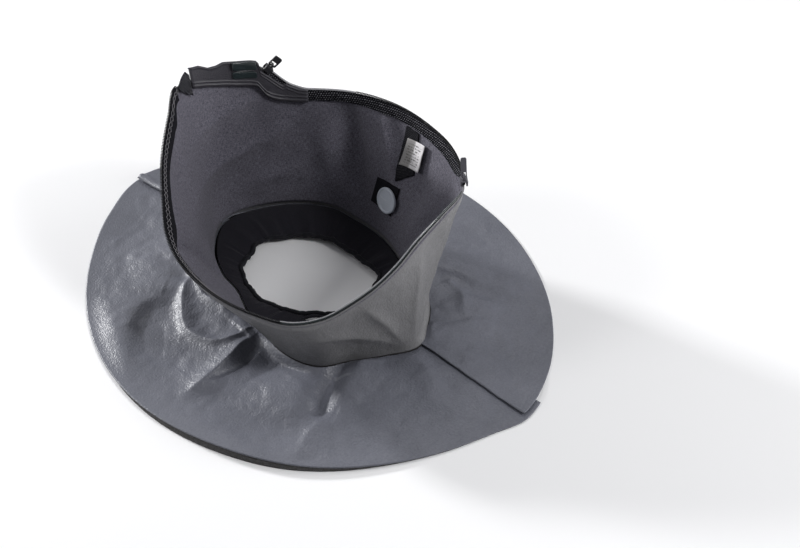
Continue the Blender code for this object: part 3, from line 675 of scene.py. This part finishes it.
def label_material():
    """Satin label: white, half of it in the fold's shade, with rows of short plain marks."""
    look = Look("label_cloth", (0.72, 0.71, 0.72), 0.55, Specular_IOR_Level=0.4)
    place = look.coords("UV")
    u, v = look.axis(place, 0), look.axis(place, 1)
    lines = look.math("SINE", look.times(v, 2200.0))
    breaks = look.noise(look.coords("UV", (700.0, 350.0, 1.0)), 1.0, 1.0)
    inside = look.times(look.span(u, 0.003, 0.0035), look.span(u, 0.0225, 0.022))
    band = look.times(look.span(v, 0.003, 0.004), look.span(v, 0.025, 0.024))
    mark = look.times(look.span(lines, -0.1, 0.2), look.span(breaks, 0.47, 0.50))
    mark = look.times(mark, look.times(inside, band))
    cloth = look.mix(look.noise(place, 300.0, 2.0), *LABEL_TONES)
    tint = look.mix(look.times(mark, 0.85), cloth, LABEL_INK)
    tint = look.mix(look.span(u, 0.0105, 0.0125, 0.72, 0.0), tint, LABEL_SHADE)
    weave = look.weave(place, 0.0005, 0.0005)
    return look.give(Base_Color=tint, Normal=look.bump(weave, 0.00015, 0.6))


CAPE_CLOTH = coated_cloth("cape_cloth", (0.098, 0.103, 0.127), (0.132, 0.137, 0.166), 0.43)
SHELL_CLOTH = coated_cloth("shell_cloth", (0.126, 0.125, 0.129), (0.160, 0.158, 0.163), 0.52)
# near-black cloth under the lifted hem: painted shadow
HEM_PAINTED_SHADOW = coated_cloth("hem_painted_shadow", (0.022, 0.020, 0.019), (0.034, 0.031, 0.029), 0.60)
LINING_CLOTH = heather_cloth()
# black cord on the seam at the shell's foot: painted contact shadow
SEAM_PAINTED_SHADOW = knit_cloth("seam_painted_shadow", (0.012, 0.011, 0.012))
KNIT = knit_cloth("collar_knit", (0.0098, 0.0092, 0.0132))
ELASTIC = knit_cloth("elastic_knit", (0.0080, 0.0080, 0.0105))
TAPE = woven_tape(light=0.040)
STRAP_TAPE = woven_tape("strap_tape", light=0.095)
COARSE_TAPE = woven_tape("coarse_tape", 0.0024, 0.26, 0.36, 0.50)
PLATE = moulding("plate_plastic", (0.036, 0.034, 0.043), 0.48, 900.0, 0.00025)
GLOSS = moulding("gloss_plastic", (0.018, 0.026, 0.028), 0.16, 300.0, 0.00002)
COIL = moulding("coil_nylon", (0.008, 0.008, 0.010), 0.42, 1200.0, 0.00003, 0.2)
# pale beads laid on dark parts: painted glint lines where light catches them
PAINTED_GLINT = moulding("painted_glint_nylon", (0.26, 0.26, 0.275), 0.20, 1200.0, 0.00002)
SNAP = moulding("snap_plastic", (0.530, 0.570, 0.640), 0.34, 700.0, 0.00004)
METAL = painted_metal("slider_enamel", (0.018, 0.018, 0.022))
GREY_METAL = painted_metal("side_pull_enamel", (0.085, 0.083, 0.098))
LABEL = label_material()
THREAD = woven_tape("sewing_thread", 0.0005, 0.05)
PALE_THREAD = moulding("pale_thread", (0.27, 0.26, 0.28), 0.45, 1500.0, 0.00002)

# ================================================================ cape
CAPE_THICKNESS = 0.0010
CAPE_ROWS = 96
CAPE_STEP = 0.5                  # degrees between columns
CAPE_UNDERLAP = 0.0028           # the cape runs this far in under the cowl
CAPE_SKIN = 0.0006               # its inner edge stands this far over the solid's
CAPE_HEM_TOP = 0.0012            # its upper side at the hem, and nowhere under CAPE_LOWEST
CAPE_LOWEST = 0.0011
HEM_LIFT = 0.0065                # the hem stands off the floor at the front left
HEM_LIFT_ANGLE = -157.0
HEM_LIFT_SPREAD = 34.0
HEM_LIFT_START = 0.6             # share of the way out where the lift begins
FADE_AT_HEM = 6.0                # folds fade over one part in this many
FADE_AT_FOOT = 14.0
SEAM_ROLL = 0.0034               # height of the left panel's rolled edge at the back seam
SEAM_ROLL_PLACE = 0.0055
SEAM_ROLL_WIDTH = 0.0042
SEAM_TAB_START = 262.0
SEAM_TAB_TURN = 8.0
FACING_RANGE = (168.0, 275.0)
FACING_INSET = 0.0012
FACING_FLARE = 0.0040
BACK_SEAM = 90.0
FRONT_SEAM = -90.0
CAPE_LINES = fold_lines(CAPE_FOLDS, lambda angle, radius: (radius * math.cos(angle),
                                                           radius * math.sin(angle)))


def cape_height(deg, radius, share):
    """Height of the cape's upper side, folds included."""
    fall = smooth_step(1.0 - share / HEM_FLAT)
    height = CAPE_HEM_TOP + (CAPE_INNER_HEIGHT + CAPE_SKIN - CAPE_HEM_TOP) * fall
    x, y = radius * np.cos(np.radians(deg)), radius * np.sin(np.radians(deg))
    rise = folded(x, y, CAPE_LINES)
    rise = rise + 0.0012 * value_noise(x + 1.0, y + 1.0, 0.045, 1)
    rise = rise + 0.0006 * value_noise(x + y + 2.0, y - x + 2.0, 0.015, 2)
    rise = rise + 0.0002 * value_noise(x - y + 3.0, y + x + 3.0, 0.007, 5)
    hem = smooth_step((1.0 - share) * FADE_AT_HEM)
    foot = smooth_step(share * FADE_AT_FOOT)
    lifted = HEM_LIFT * bell(half_turns(deg - HEM_LIFT_ANGLE), 0.0, HEM_LIFT_SPREAD)
    lifted = lifted * smooth_step((share - HEM_LIFT_START) / (1.0 - HEM_LIFT_START))
    return np.maximum(height + rise * hem * foot + lifted, CAPE_LOWEST)


def cape_sheet(name, degs, lift, tab, roll, node):
    shares = rows(CAPE_ROWS)
    degs = degs[None, :]
    inner = around(RING, degs) - CAPE_UNDERLAP
    radius = inner + (around(HEM, degs) + tab[None, :] - inner) * shares
    height = cape_height(degs, radius, shares) + lift[None, :]
    inside = np.radians(BACK_SEAM - degs) * radius
    rolled = roll * bell(inside, SEAM_ROLL_PLACE, SEAM_ROLL_WIDTH) * smooth_step(shares * 4.0)
    return sheet_piece(name, polar(degs, radius, height + rolled), CAPE_CLOTH,
                       grid_uv(np.radians(degs) * 0.2, radius), CAPE_THICKNESS, 1.0,
                       [node])


def make_cape():
    degs = np.arange(FRONT_SEAM, BACK_SEAM + CAPE_STEP / 2, CAPE_STEP)
    edge = np.minimum(degs - FRONT_SEAM, BACK_SEAM - degs)
    lift = SEAM_LIFT * (1.0 - smooth_step((edge - SEAM_LAP) / (2.0 * SEAM_LAP)))
    left = cape_sheet("cape_left", degs, lift, np.zeros(len(degs)), SEAM_ROLL, "cape_panel_left")

    end = FRONT_SEAM + 360.0 + SEAM_LAP
    degs = np.arange(BACK_SEAM - SEAM_LAP, end + CAPE_STEP / 2, CAPE_STEP)
    tab = SEAM_TAB * smooth_step((degs - SEAM_TAB_START) / SEAM_TAB_TURN)
    right = cape_sheet("cape_right", degs, np.zeros(len(degs)), tab, 0.0, "cape_panel_right")


def make_hem_facing():
    """Turned-under edge where the hem stands off the floor, in near-black cloth: painted shadow under
    the hem.
    """
    degs = np.arange(*FACING_RANGE, 1.0)[None, :]
    shares = np.array((0.0, 0.35, 0.7, 1.0))[:, None]
    radius = around(HEM, degs)
    under = cape_height(degs, radius, np.ones(degs.shape)) - CAPE_THICKNESS
    height = 0.0004 + (under - 0.0002) * (1.0 - shares)
    flare = FACING_FLARE * np.clip(under / HEM_LIFT, 0.0, 1.0) - 0.0010
    points = polar(degs, radius - FACING_INSET + flare * shares, height)
    facing = sheet_piece("hem_facing_painted_shadow", points, HEM_PAINTED_SHADOW, grid_uv(np.radians(degs) * 0.25, height),
                         0.0006, 0.0, [])


# ================================================================ cowl and lining
WALL_ROWS = 56
WALL_STEP = 0.75                 # degrees between columns
FOOT_SEAM_HEIGHT = 0.0126        # the seam just above the cape, drawn as a black cord: painted contact shadow at the shell's foot
FOOT_SEAM_RADIUS = 0.0009
SHELL_FOOT = 0.0118              # the shell starts below the lining
SHELL_ABOVE = 0.0022             # the shell ends this far above the lining
SHELL_TURN_IN = 0.0026           # and bends in to meet it
SHELL_SKIN = 0.0006
SHELL_THICKNESS = 0.0009
LINING_SKIN = -0.0004
LINING_THICKNESS = 0.0008


def make_cowl():
    degs = np.arange(-180.0, 180.0, WALL_STEP)[None, :]
    shares = rows(WALL_ROWS)
    top = rim_height(degs) - EDGE_DROP * rim_slope(degs)
    height = SHELL_FOOT + (top + SHELL_ABOVE - SHELL_FOOT) * shares
    offset = SHELL_OFFSET - SHELL_TURN_IN * smooth_step((shares - 0.90) / 0.10)
    shell = sheet_piece("cowl_outer", wall_point(degs, height, offset + SHELL_SKIN), SHELL_CLOTH,
                        wall_uv(degs, height), SHELL_THICKNESS, -1.0, ["cowl_shell"],
                        closed=True)

    # black cord on the seam at the shell's foot: painted contact shadow
    seam = wall_point(degs[0], np.full(degs.size, FOOT_SEAM_HEIGHT), SHELL_OFFSET + 0.0008)
    tube_piece("foot_seam_painted_shadow", seam, FOOT_SEAM_RADIUS, SEAM_PAINTED_SHADOW, [], cyclic=True)

    height = WALL_FOOT + (top - WALL_FOOT) * shares
    points = wall_point(degs, height, LINING_OFFSET + LINING_SKIN)
    lining = sheet_piece("cowl_inner", points, LINING_CLOTH, wall_uv(degs, height),
                         LINING_THICKNESS, 1.0, ["cowl_lining"], closed=True)


# ================================================================ collar
COLLAR_ROWS = 40
COLLAR_THICKNESS = 0.0012
COLLAR_LOWEST = 0.0035
COLLAR_SWELL = 0.0015
BINDING_CLEARANCE = 0.0030       # the binding keeps this far below the cape
BINDING_LOWEST = 0.0006
# (share of the width outwards, drop) across the binding
BINDING_ROUND = ((0.5, 0.0), (0.3, 0.0006), (0.0, 0.0008), (-0.3, 0.0006), (-0.5, 0.0))
SLIT_ANGLE = -138.0              # the slit sits nearer the hole than in the solid
SLIT_RADIUS = 0.0565
SLIT_LENGTH = 0.019
SLIT_WIDTH = 0.0055
SLIT_SNAP = (0.55, 1.45)         # points this near the slit's edge move onto it


def hole_point(deg, extra, height):
    angle, turn = np.radians(deg), math.radians(HOLE_TURN)
    x = (HOLE_HALF_WIDTH + extra) * np.cos(angle)
    y = (HOLE_HALF_DEPTH + extra) * np.sin(angle)
    parts = np.broadcast_arrays(AXIS_X + HOLE_ASIDE + x * math.cos(turn) - y * math.sin(turn),
                                AXIS_Y + HOLE_SETBACK + x * math.sin(turn) + y * math.cos(turn),
                                height)
    return np.stack(parts, -1)


def hole_ruffle(deg):
    """Uneven edge of the neck hole, gathered by its elastic."""
    from_taut = half_turns(deg - TAUT_SIDE)
    return (-0.0070 * bell(from_taut, 0.0, 24.0) + 0.0060 * bell(from_taut, -46.0, 13.0)
            + ring_noise(deg, 0.0026, 3.0, 5.0, 11) + ring_noise(deg, 0.0014, 9.0, 12.0, 12))


def cut_slit(points):
    """Brings the grid's nearest points onto the slit's edge, and marks the faces inside it."""
    spin = math.radians(SLIT_ANGLE)
    centre = polar(SLIT_ANGLE, SLIT_RADIUS, 0.0)
    dx, dy = points[..., 0] - centre[0], points[..., 1] - centre[1]
    long_way = (-dx * math.sin(spin) + dy * math.cos(spin)) / (SLIT_LENGTH / 2)
    short_way = (dx * math.cos(spin) + dy * math.sin(spin)) / (SLIT_WIDTH / 2)
    reach = np.hypot(long_way, short_way)
    near, far = SLIT_SNAP
    snap = np.where((reach > near) & (reach < far), 1.0 / np.maximum(reach, 0.1), 1.0)
    points[..., 0] = centre[0] + dx * snap
    points[..., 1] = centre[1] + dy * snap
    inside = reach <= far
    corner = inside[:-1] & inside[1:]
    return corner & np.roll(corner, -1, 1)


def make_collar():
    degs = np.arange(-180.0, 180.0, WALL_STEP)
    ruffle = hole_ruffle(degs)
    inner = hole_point(degs, ELASTIC_RADIUS + 0.0006 + ruffle, COLLAR_INNER_HEIGHT)
    direction = np.degrees(np.arctan2(inner[:, 1] - AXIS_Y, inner[:, 0] - AXIS_X))
    outer = polar(direction, around(RING, direction) - WALL_BUILD_UP - 0.0012,
                  COLLAR_OUTER_HEIGHT + 0.0012)
    shares = rows(COLLAR_ROWS)
    points = outer[None] * (1.0 - shares[..., None]) + inner[None] * shares[..., None]
    gathers = ring_noise(degs, 0.0016, 8.0, 20.0, 13) + ring_noise(degs, 0.0008, 20.0, 40.0, 14)
    points[..., 2] += gathers * smooth_step(shares * 1.5) + COLLAR_SWELL * np.sin(shares * math.pi)
    points[..., 2] = np.maximum(points[..., 2], COLLAR_LOWEST)
    drop = cut_slit(points)
    uv = grid_uv(np.radians(degs)[None, :] * 0.08, shares * 0.045)
    collar = sheet_piece("collar_knit", points, KNIT, uv, COLLAR_THICKNESS, -1.0,
                         ["neck_collar"], closed=True, drop=drop)

    lump = 1.0 + ring_noise(degs, 0.22, 16.0, 30.0, 15)
    ring = hole_point(degs, ELASTIC_RADIUS * 0.4 + ruffle, COLLAR_INNER_HEIGHT - 0.0002)
    ring[:, 2] += gathers * 0.8
    tube_piece("collar_hem", ring, ELASTIC_RADIUS * 1.15 * lump, ELASTIC, ["collar_elastic"],
               10, cyclic=True)


def make_binding():
    """Binding under the seam between cowl and cape."""
    degs = np.arange(-180.0, 180.0, WALL_STEP)
    inner = around(RING, degs) - CAPE_UNDERLAP
    band = []
    for reach, drop in BINDING_ROUND:
        radius = around(RING, degs) + reach * BINDING_WIDTH
        share = np.clip((radius - inner) / (around(HEM, degs) - inner), 0.0, 1.0)
        under = np.maximum(cape_height(degs, radius, share) - BINDING_CLEARANCE, BINDING_LOWEST)
        band.append(polar(degs, radius, np.minimum(BINDING_HEIGHT - drop, under)))
    uv = grid_uv(np.radians(degs)[None, :] * 0.12, np.linspace(0, BINDING_WIDTH, len(band))[:, None])
    sheet_piece("neck_binding", np.array(band), TAPE, uv, 0.0010, 0.0, ["neck_seam_binding"],
                closed=True)


# ================================================================ zip
RIM_CORNER = 100.5               # the right zip starts at the rear corner
WELT_RANGE = (212.0, 262.0)      # plain bead along the front
WELT_END = 305.5
COIL_RANGE = (-50.8, 24.0)       # wound part of the left zip
RAIL_END = 60.5
COIL_PITCH = 0.0016
COIL_TURN_POINTS = 9
ZIGZAG_PITCH = 0.0042
TAPE_THICKNESS = 0.0006
TAPE_RIPPLE = 0.0004
RIGHT_TAPE_EXTRA = 0.0025        # the right tape runs wider down the lining
LEFT_TAPE_TAPER = -37.0          # the left tape narrows from here to its front end
LEFT_TAPE_END = 61.3
STITCH_BELOW = 0.0100
STITCH_LENGTH = 0.0022
STITCH_PITCH = 0.0034
STITCH_RADIUS = 0.00022
CHAIN_RADIUS = 0.00028


def rim_line(start, end, step=0.25):
    degs = np.arange(start, end + step / 2, step)
    return degs, rim_point(degs)


def resample(values, line):
    """A line's points at new places, counted in its own points."""
    return np.stack([np.interp(values, np.arange(len(line)), line[:, k]) for k in range(3)], -1)


def coil_piece(name, start, end, nodes):
    """Half of a nylon coil zip: a filament wound round the rim line."""
    degs, path = rim_line(start, end, 0.5)
    lengths = np.concatenate(((0.0,), np.cumsum(np.linalg.norm(np.diff(path, axis=0), axis=1))))
    count = int(lengths[-1] / COIL_PITCH) * COIL_TURN_POINTS
    reach = np.linspace(0.0, lengths[-1], count)
    line = np.stack([np.interp(reach, lengths, path[:, k]) for k in range(3)], -1)
    tangent = np.gradient(line, axis=0)
    tangent /= np.linalg.norm(tangent, axis=1, keepdims=True)
    where = np.interp(reach, lengths, degs)
    out = wall_normal(where, rim_height(where))
    up = np.cross(out, tangent)
    phase = np.arange(count) * 2.0 * math.pi / COIL_TURN_POINTS
    spin = out * np.cos(phase)[:, None] + up * np.sin(phase)[:, None]
    tube_piece(name, line + spin * (COIL_RADIUS * 0.82), COIL_RADIUS * 0.36, COIL, nodes,
               5, facing=spin)


def tape_piece(side, start, end, look, extra):
    degs = np.arange(start, end + 0.25, 0.5)[None, :]
    top = rim_height(degs)
    slope = rim_slope(degs)
    shares = rows(10)
    taper = 1.0 - 0.75 * smooth_step((LEFT_TAPE_TAPER - degs) / 12.0)
    low = top - (TAPE_WIDTH + extra) * taper * slope
    high = top - TAPE_TOP_DROP * 0.4 * slope
    height = low + (high - low) * shares
    offset = TAPE_RIPPLE * np.sin(shares * math.pi * 3.0) - 0.0002
    sheet_piece("tape_" + side, wall_point(degs, height, offset), look, wall_uv(degs, height),
                TAPE_THICKNESS, 0.0, ["zip_tape_" + side])


def zigzag_row(name, start, end, below, reach, offset):
    """Chain of pale thread that holds the coil to its tape, zigzagging along the rim."""
    spots = np.arange(start, end, math.degrees(ZIGZAG_PITCH / 2 / WALL_RADIUS))
    swing = np.where(np.arange(len(spots)) % 2 == 0, -0.5, 0.5) * reach
    line = wall_point(spots, rim_height(spots) - (below + swing) * rim_slope(spots), offset)
    fine = resample(np.arange(len(line) * 3 - 2) / 3.0, line)
    tube_piece(name, fine, CHAIN_RADIUS, PALE_THREAD, [], 5)


def stitch_row(name, start, end, offset):
    """A row of lockstitches a set distance below the rim, as short slightly humped threads."""
    vertices, faces = [], []
    spots = np.linspace(-1.0, 1.0, 5)
    sides = 6
    for deg in np.arange(start, end, math.degrees(STITCH_PITCH / WALL_RADIUS)):
        slope = float(rim_slope(deg))
        along_rim = deg + spots * (math.degrees(STITCH_LENGTH / 2 / WALL_RADIUS) / slope)
        line = wall_point(along_rim, rim_height(along_rim) - STITCH_BELOW * slope,
                          offset + 0.00035 * (spots ** 2))
        tangent = line[-1] - line[0]
        tangent /= np.linalg.norm(tangent)
        normal = wall_normal(deg, rim_height(deg) - STITCH_BELOW)
        side = np.cross(tangent, normal)
        faces += tube_faces(len(spots), sides, len(vertices))
        for point, spot in zip(line, spots):
            size = STITCH_RADIUS * (1.0 - 0.5 * abs(spot) ** 3)
            for angle in np.arange(sides) * math.pi / 3.0:
                vertices.append(point + (side * math.cos(angle) + normal * math.sin(angle)) * size)
    finish_piece(new_object(name, vertices, faces, THREAD), [])


def make_zip():
    coil_piece("coil_right", RIM_CORNER, WELT_RANGE[0], [])
    degs, path = rim_line(WELT_RANGE[0] - 1.0, WELT_END)
    thin = np.interp(degs, (WELT_RANGE[0], WELT_RANGE[0] + 8, 300.0, WELT_END),
                     (0.0014, 0.0012, 0.0012, 0.0006))
    tube_piece("rim_welt", path, thin, GLOSS, ["zip_coil_right"], 10)
    # pale bead on top of the welt: painted glint along the front rim, thinning out towards its end
    glint_size = thin * (0.12 + 0.43 * smooth_step((292.0 - degs) / 8.0))
    tube_piece("rim_painted_glint", path + np.array((0.0, 0.0, 0.0011)), glint_size, PAINTED_GLINT, [],
               8)
    coil_piece("coil_left", *COIL_RANGE, ["zip_coil_left"])
    degs, path = rim_line(COIL_RANGE[1], RAIL_END)
    normal = wall_normal(degs, rim_height(degs))
    # the rails are drawn pale: painted highlights on the zip's glossy edge
    for name, out in (("rail_outer", 0.0009), ("rail_inner", -0.0009)):
        tube_piece(name, path + normal * out, 0.0008, PAINTED_GLINT, [], 8)
    for side, start, end, look, extra in (
            ("right", RIM_CORNER, WELT_END, TAPE, RIGHT_TAPE_EXTRA),
            ("left", COIL_RANGE[0], LEFT_TAPE_END, COARSE_TAPE, 0.0)):
        tape_piece(side, start, end, look, extra)
        stitch_row("tape_stitch_" + side, start + 1.0, end - 1.0, -0.0010)
    for number, below in ((1, 0.0030), (2, 0.0062)):
        zigzag_row("coil_chain_%d" % number, 101.0, WELT_RANGE[0], below, 0.0020, -0.0015)


# ================================================================ rear plate and latch
PLATE_RANGE = (44.0, 92.4)
PLATE_STEP = 0.2
PLATE_TOP_RISE = 0.0045          # the soft right end of the plate covers the rail
PLATE_RISE_END = 54.5
GUSSET_RANGE = (93.0, 99.8)
LATCH_ROWS = 60
LATCH_SIDES = 24
LATCH_SQUARENESS = 0.45          # 1 would be round in section
SLOT_EDGE_RADIUS = 0.0006


def make_plate():
    degs = np.arange(PLATE_RANGE[0], PLATE_RANGE[1] + 0.05, PLATE_STEP)[None]
    low = along(PLATE_BOTTOM, degs)
    high = along(PLATE_TOP, degs) + PLATE_TOP_RISE * smooth_step((PLATE_RISE_END - degs) / 2.0)
    height = low + (high - low) * rows(60)
    above = height - low
    below = high - height
    ribs = 0.0007 * (bell(above, 0.0030, 0.0009) + bell(above, 0.0068, 0.0009))
    lip = 0.0008 * bell(below, 0.0016, 0.0011)
    lip += 0.0006 * bell(below, 0.0052, 0.0010) * (degs < 63.0)
    ends = smooth_step((degs - PLATE_RANGE[0]) / 0.8) * smooth_step((PLATE_RANGE[1] - degs) / 0.8)
    rounding = 0.0010 * (bell(above, 0.0, 0.0008) + bell(below, 0.0, 0.0008))
    offset = PLATE_OFFSET - PLATE_THICKNESS / 2 - (ribs + lip) * ends + rounding + 0.0008 * (1.0 - ends)
    sheet_piece("plate_moulding", wall_point(degs, height, offset), PLATE, wall_uv(degs, height),
                0.0022, 1.0, ["rear_plate"])

    degs = np.arange(*GUSSET_RANGE, PLATE_STEP)[None]
    low, high = along(GUSSET_BOTTOM, degs), along(GUSSET_TOP, degs)
    height = low + (high - low) * rows(20)
    sheet_piece("gusset_fan", wall_point(degs, height, PLATE_OFFSET), COARSE_TAPE,
                wall_uv(degs, height), 0.0009, 0.0, ["corner_gusset"])


def make_latch():
    face = PLATE_OFFSET - PLATE_THICKNESS / 2 - GAP
    degs = np.linspace(*BAR_SPAN, LATCH_ROWS)[:, None]
    top = along(PLATE_TOP, degs) - BAR_TOP_DROP
    turn = np.linspace(0.0, 2.0 * math.pi, LATCH_SIDES + 1)[:-1]
    up = np.sign(np.sin(turn)) * np.abs(np.sin(turn)) ** LATCH_SQUARENESS
    out = np.sign(np.cos(turn)) * np.abs(np.cos(turn)) ** LATCH_SQUARENESS
    end = np.sqrt(np.clip(1.0 - np.abs(np.linspace(-1, 1, LATCH_ROWS)) ** 16, 0.02, 1.0))[:, None]
    pad_top = top - BAR_HEIGHT - SLOT_GAP
    for name, high, tall, thick, node in (
            ("latch_rail", top, BAR_HEIGHT, BAR_THICKNESS, "latch_bar"),
            ("latch_backing", pad_top, PAD_HEIGHT, PAD_THICKNESS, "latch_pad")):
        height = high - tall / 2 + end * up * tall / 2
        offset = face - thick / 2 + end * out * thick / 2
        points = wall_point(degs, height, offset)
        rail = new_object(name, points.reshape(-1, 3), tube_faces(LATCH_ROWS, LATCH_SIDES), GLOSS)
        finish_piece(rail, [node])
    degs = np.linspace(BAR_SPAN[0] + 1.0, BAR_SPAN[1] - 2.0, 30)
    slot = along(PLATE_TOP, degs) - BAR_TOP_DROP - BAR_HEIGHT - SLOT_GAP / 2
    taper = np.sin(np.linspace(0.25, math.pi - 0.25, 30))
    # pale tapered line along the slot: painted highlight on its edge
    tube_piece("latch_slot_edge", wall_point(degs, slot, face - 0.0006), SLOT_EDGE_RADIUS * taper,
               PAINTED_GLINT, [], 8)


# ================================================================ label, strap, patch and stud
PATCH_GRID = 24
PATCH_THICKNESS = 0.0009
LINING_FACE = LINING_OFFSET - 0.0009
LABEL_CURL = 0.0022
# (share of the radius, share of the thickness) down the stud's cap
CAP_TOP = ((0.94, 0.92), (0.88, 1.0), (0.83, 0.93), (0.80, 0.74), (0.76, 0.70), (0.45, 0.80),
           (0.12, 0.86), (0.02, 0.86))


def patch_points(corners, offset):
    """A small sheet on the wall; offset may change over the sheet."""
    foot_left, foot_right, top_right, top_left = (np.array(c) for c in corners)
    u, v = rows(PATCH_GRID)[None], rows(PATCH_GRID)[:, None]
    spot = ((foot_left * (1 - u) + foot_right * u) * (1 - v)
            + (top_left * (1 - u) + top_right * u) * v)
    return wall_point(spot[..., 0], spot[..., 1], offset)


def dome(height):
    """Soft fullness of a patch, highest in its middle."""
    swell = np.sin(rows(PATCH_GRID) * math.pi)
    return height * swell.T * swell


def make_label():
    points = patch_points(STRAP_CORNERS, LINING_FACE - 0.0006 - dome(0.0006))
    sheet_piece("label_tape", points, STRAP_TAPE, flat_uv(0.03, 0.05, PATCH_GRID),
                PATCH_THICKNESS, 0.0, ["label_strap"])
    u, v = rows(PATCH_GRID).T, rows(PATCH_GRID)
    curl = LABEL_CURL * smooth_step((u - 0.45) / 0.55) + 0.0008 * smooth_step((0.2 - v) / 0.2)
    label = sheet_piece("care_tag", patch_points(LABEL_CORNERS, LINING_FACE - 0.0020 - curl), LABEL,
                        flat_uv(0.026, 0.028, PATCH_GRID), 0.0004, 0.0, ["care_label"])


def make_snap():
    points = patch_points(PATCH_CORNERS, LINING_FACE - 0.0007 - dome(0.0004))
    sheet_piece("snap_backing", points, TAPE, flat_uv(0.05, 0.03, PATCH_GRID),
                PATCH_THICKNESS, 0.0, ["snap_patch"])
    place = wall_frame(SNAP_ANGLE, SNAP_HEIGHT, LINING_FACE - 0.0016)
    place = place @ Matrix.Rotation(math.radians(-90.0), 4, "X")
    r, t = SNAP_RADIUS, SNAP_THICKNESS
    profile = [(r * 0.93, 0.0), (r * 0.99, 0.0005), (r, 0.0012), (r * 0.985, 0.0022)]
    profile += [(r * across, t * up) for across, up in CAP_TOP]
    cap = turned_mesh("snap_button", profile, place, SNAP)
    finish_piece(cap, ["snap_cap"])


# ================================================================ carried-over nodes
def dress_nodes():
    for node, look in (("rear_slider", METAL), ("rear_pull", METAL), ("snap_washer", METAL),
                       ("side_slider", GREY_METAL), ("side_pull", GREY_METAL)):
        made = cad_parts[node]
        made.data.materials.clear()
        made.data.materials.append(look)


# ================================================================ floor, light and camera
FLOOR_HALF = 6.0
FLOOR_TONES = ((0.915, 0.915, 0.925), (0.93, 0.93, 0.94))
BRIGHT_SIDE = (0.25, 0.35, 0.90)
DOME_DARK = 0.06
DOME_BRIGHT = 0.27
DOME_TINT = (0.97, 0.975, 1.0, 1.0)
LIGHT_TARGET = (0.0, 0.0, 0.08)
# name, place, size and power in watts
LIGHTS = (
    ("key", (-0.32, 2.85, 0.99), (0.34, 0.30), 96.0),
    ("side_fill", (1.6, -1.7, 0.50), (1.0, 0.8), 20.0),
    ("left_fill", (-1.3, 1.3, 1.3), (0.6, 0.6), 12.0),
    ("front_fill", (0.62, -1.70, 1.70), (0.5, 0.5), 25.0),
    ("top_fill", (1.2, 0.9, 1.9), (0.8, 0.8), 7.0),
)
CAMERA_PLACE = (-0.86975, -0.88083, 1.1375)
CAMERA_TARGET = (0.08375, -0.05153, 0.0)


def make_stage():
    look = Look("floor", (0.92, 0.92, 0.93), 0.85, Specular_IOR_Level=0.1)
    look.give(Base_Color=look.mix(look.noise(look.coords(), 3.0, 2.0), *FLOOR_TONES))
    corners = ((-1, -1), (1, -1), (1, 1), (-1, 1))
    floor = new_object("floor", [(x * FLOOR_HALF, y * FLOOR_HALF, 0) for x, y in corners],
                       [(0, 1, 2, 3)], look.material)
    floor.location.z = -0.0002

    world = bpy.data.worlds.new("studio")
    world.use_nodes = True
    tree = world.node_tree
    place = tree.nodes.new("ShaderNodeTexCoord")
    facing = tree.nodes.new("ShaderNodeVectorMath")
    facing.operation = "DOT_PRODUCT"
    facing.inputs[1].default_value = Vector(BRIGHT_SIDE).normalized()
    spread = tree.nodes.new("ShaderNodeMapRange")
    for socket, value in zip(list(spread.inputs)[1:5], (-0.6, 0.9, DOME_DARK, DOME_BRIGHT)):
        socket.default_value = value
    tree.links.new(place.outputs["Generated"], facing.inputs[0])
    tree.links.new(facing.outputs["Value"], spread.inputs[0])
    tree.links.new(spread.outputs[0], tree.nodes["Background"].inputs["Strength"])
    tree.nodes["Background"].inputs["Color"].default_value = DOME_TINT
    bpy.context.scene.world = world


def aim(name, data, place, target):
    made = bpy.data.objects.new(name, data)
    made.location = place
    made.rotation_euler = (Vector(target) - made.location).to_track_quat("-Z", "Y").to_euler()
    bpy.context.scene.collection.objects.link(made)
    return made


def make_lights():
    for name, place, size, power in LIGHTS:
        data = bpy.data.lights.new(name, "AREA")
        data.shape = "RECTANGLE"
        data.size, data.size_y = size
        data.energy = power
        aim(name, data, place, LIGHT_TARGET)


def make_camera():
    data = bpy.data.cameras.new("camera")
    data.lens = 70.0
    data.sensor_width = 36.0
    bpy.context.scene.camera = aim("camera", data, CAMERA_PLACE, CAMERA_TARGET)


bpy.context.scene.view_settings.view_transform = "Standard"
make_camera()
make_stage()
make_lights()
make_cape()
make_hem_facing()
make_cowl()
make_collar()
make_binding()
make_zip()
make_plate()
make_latch()
make_label()
make_snap()
dress_nodes()
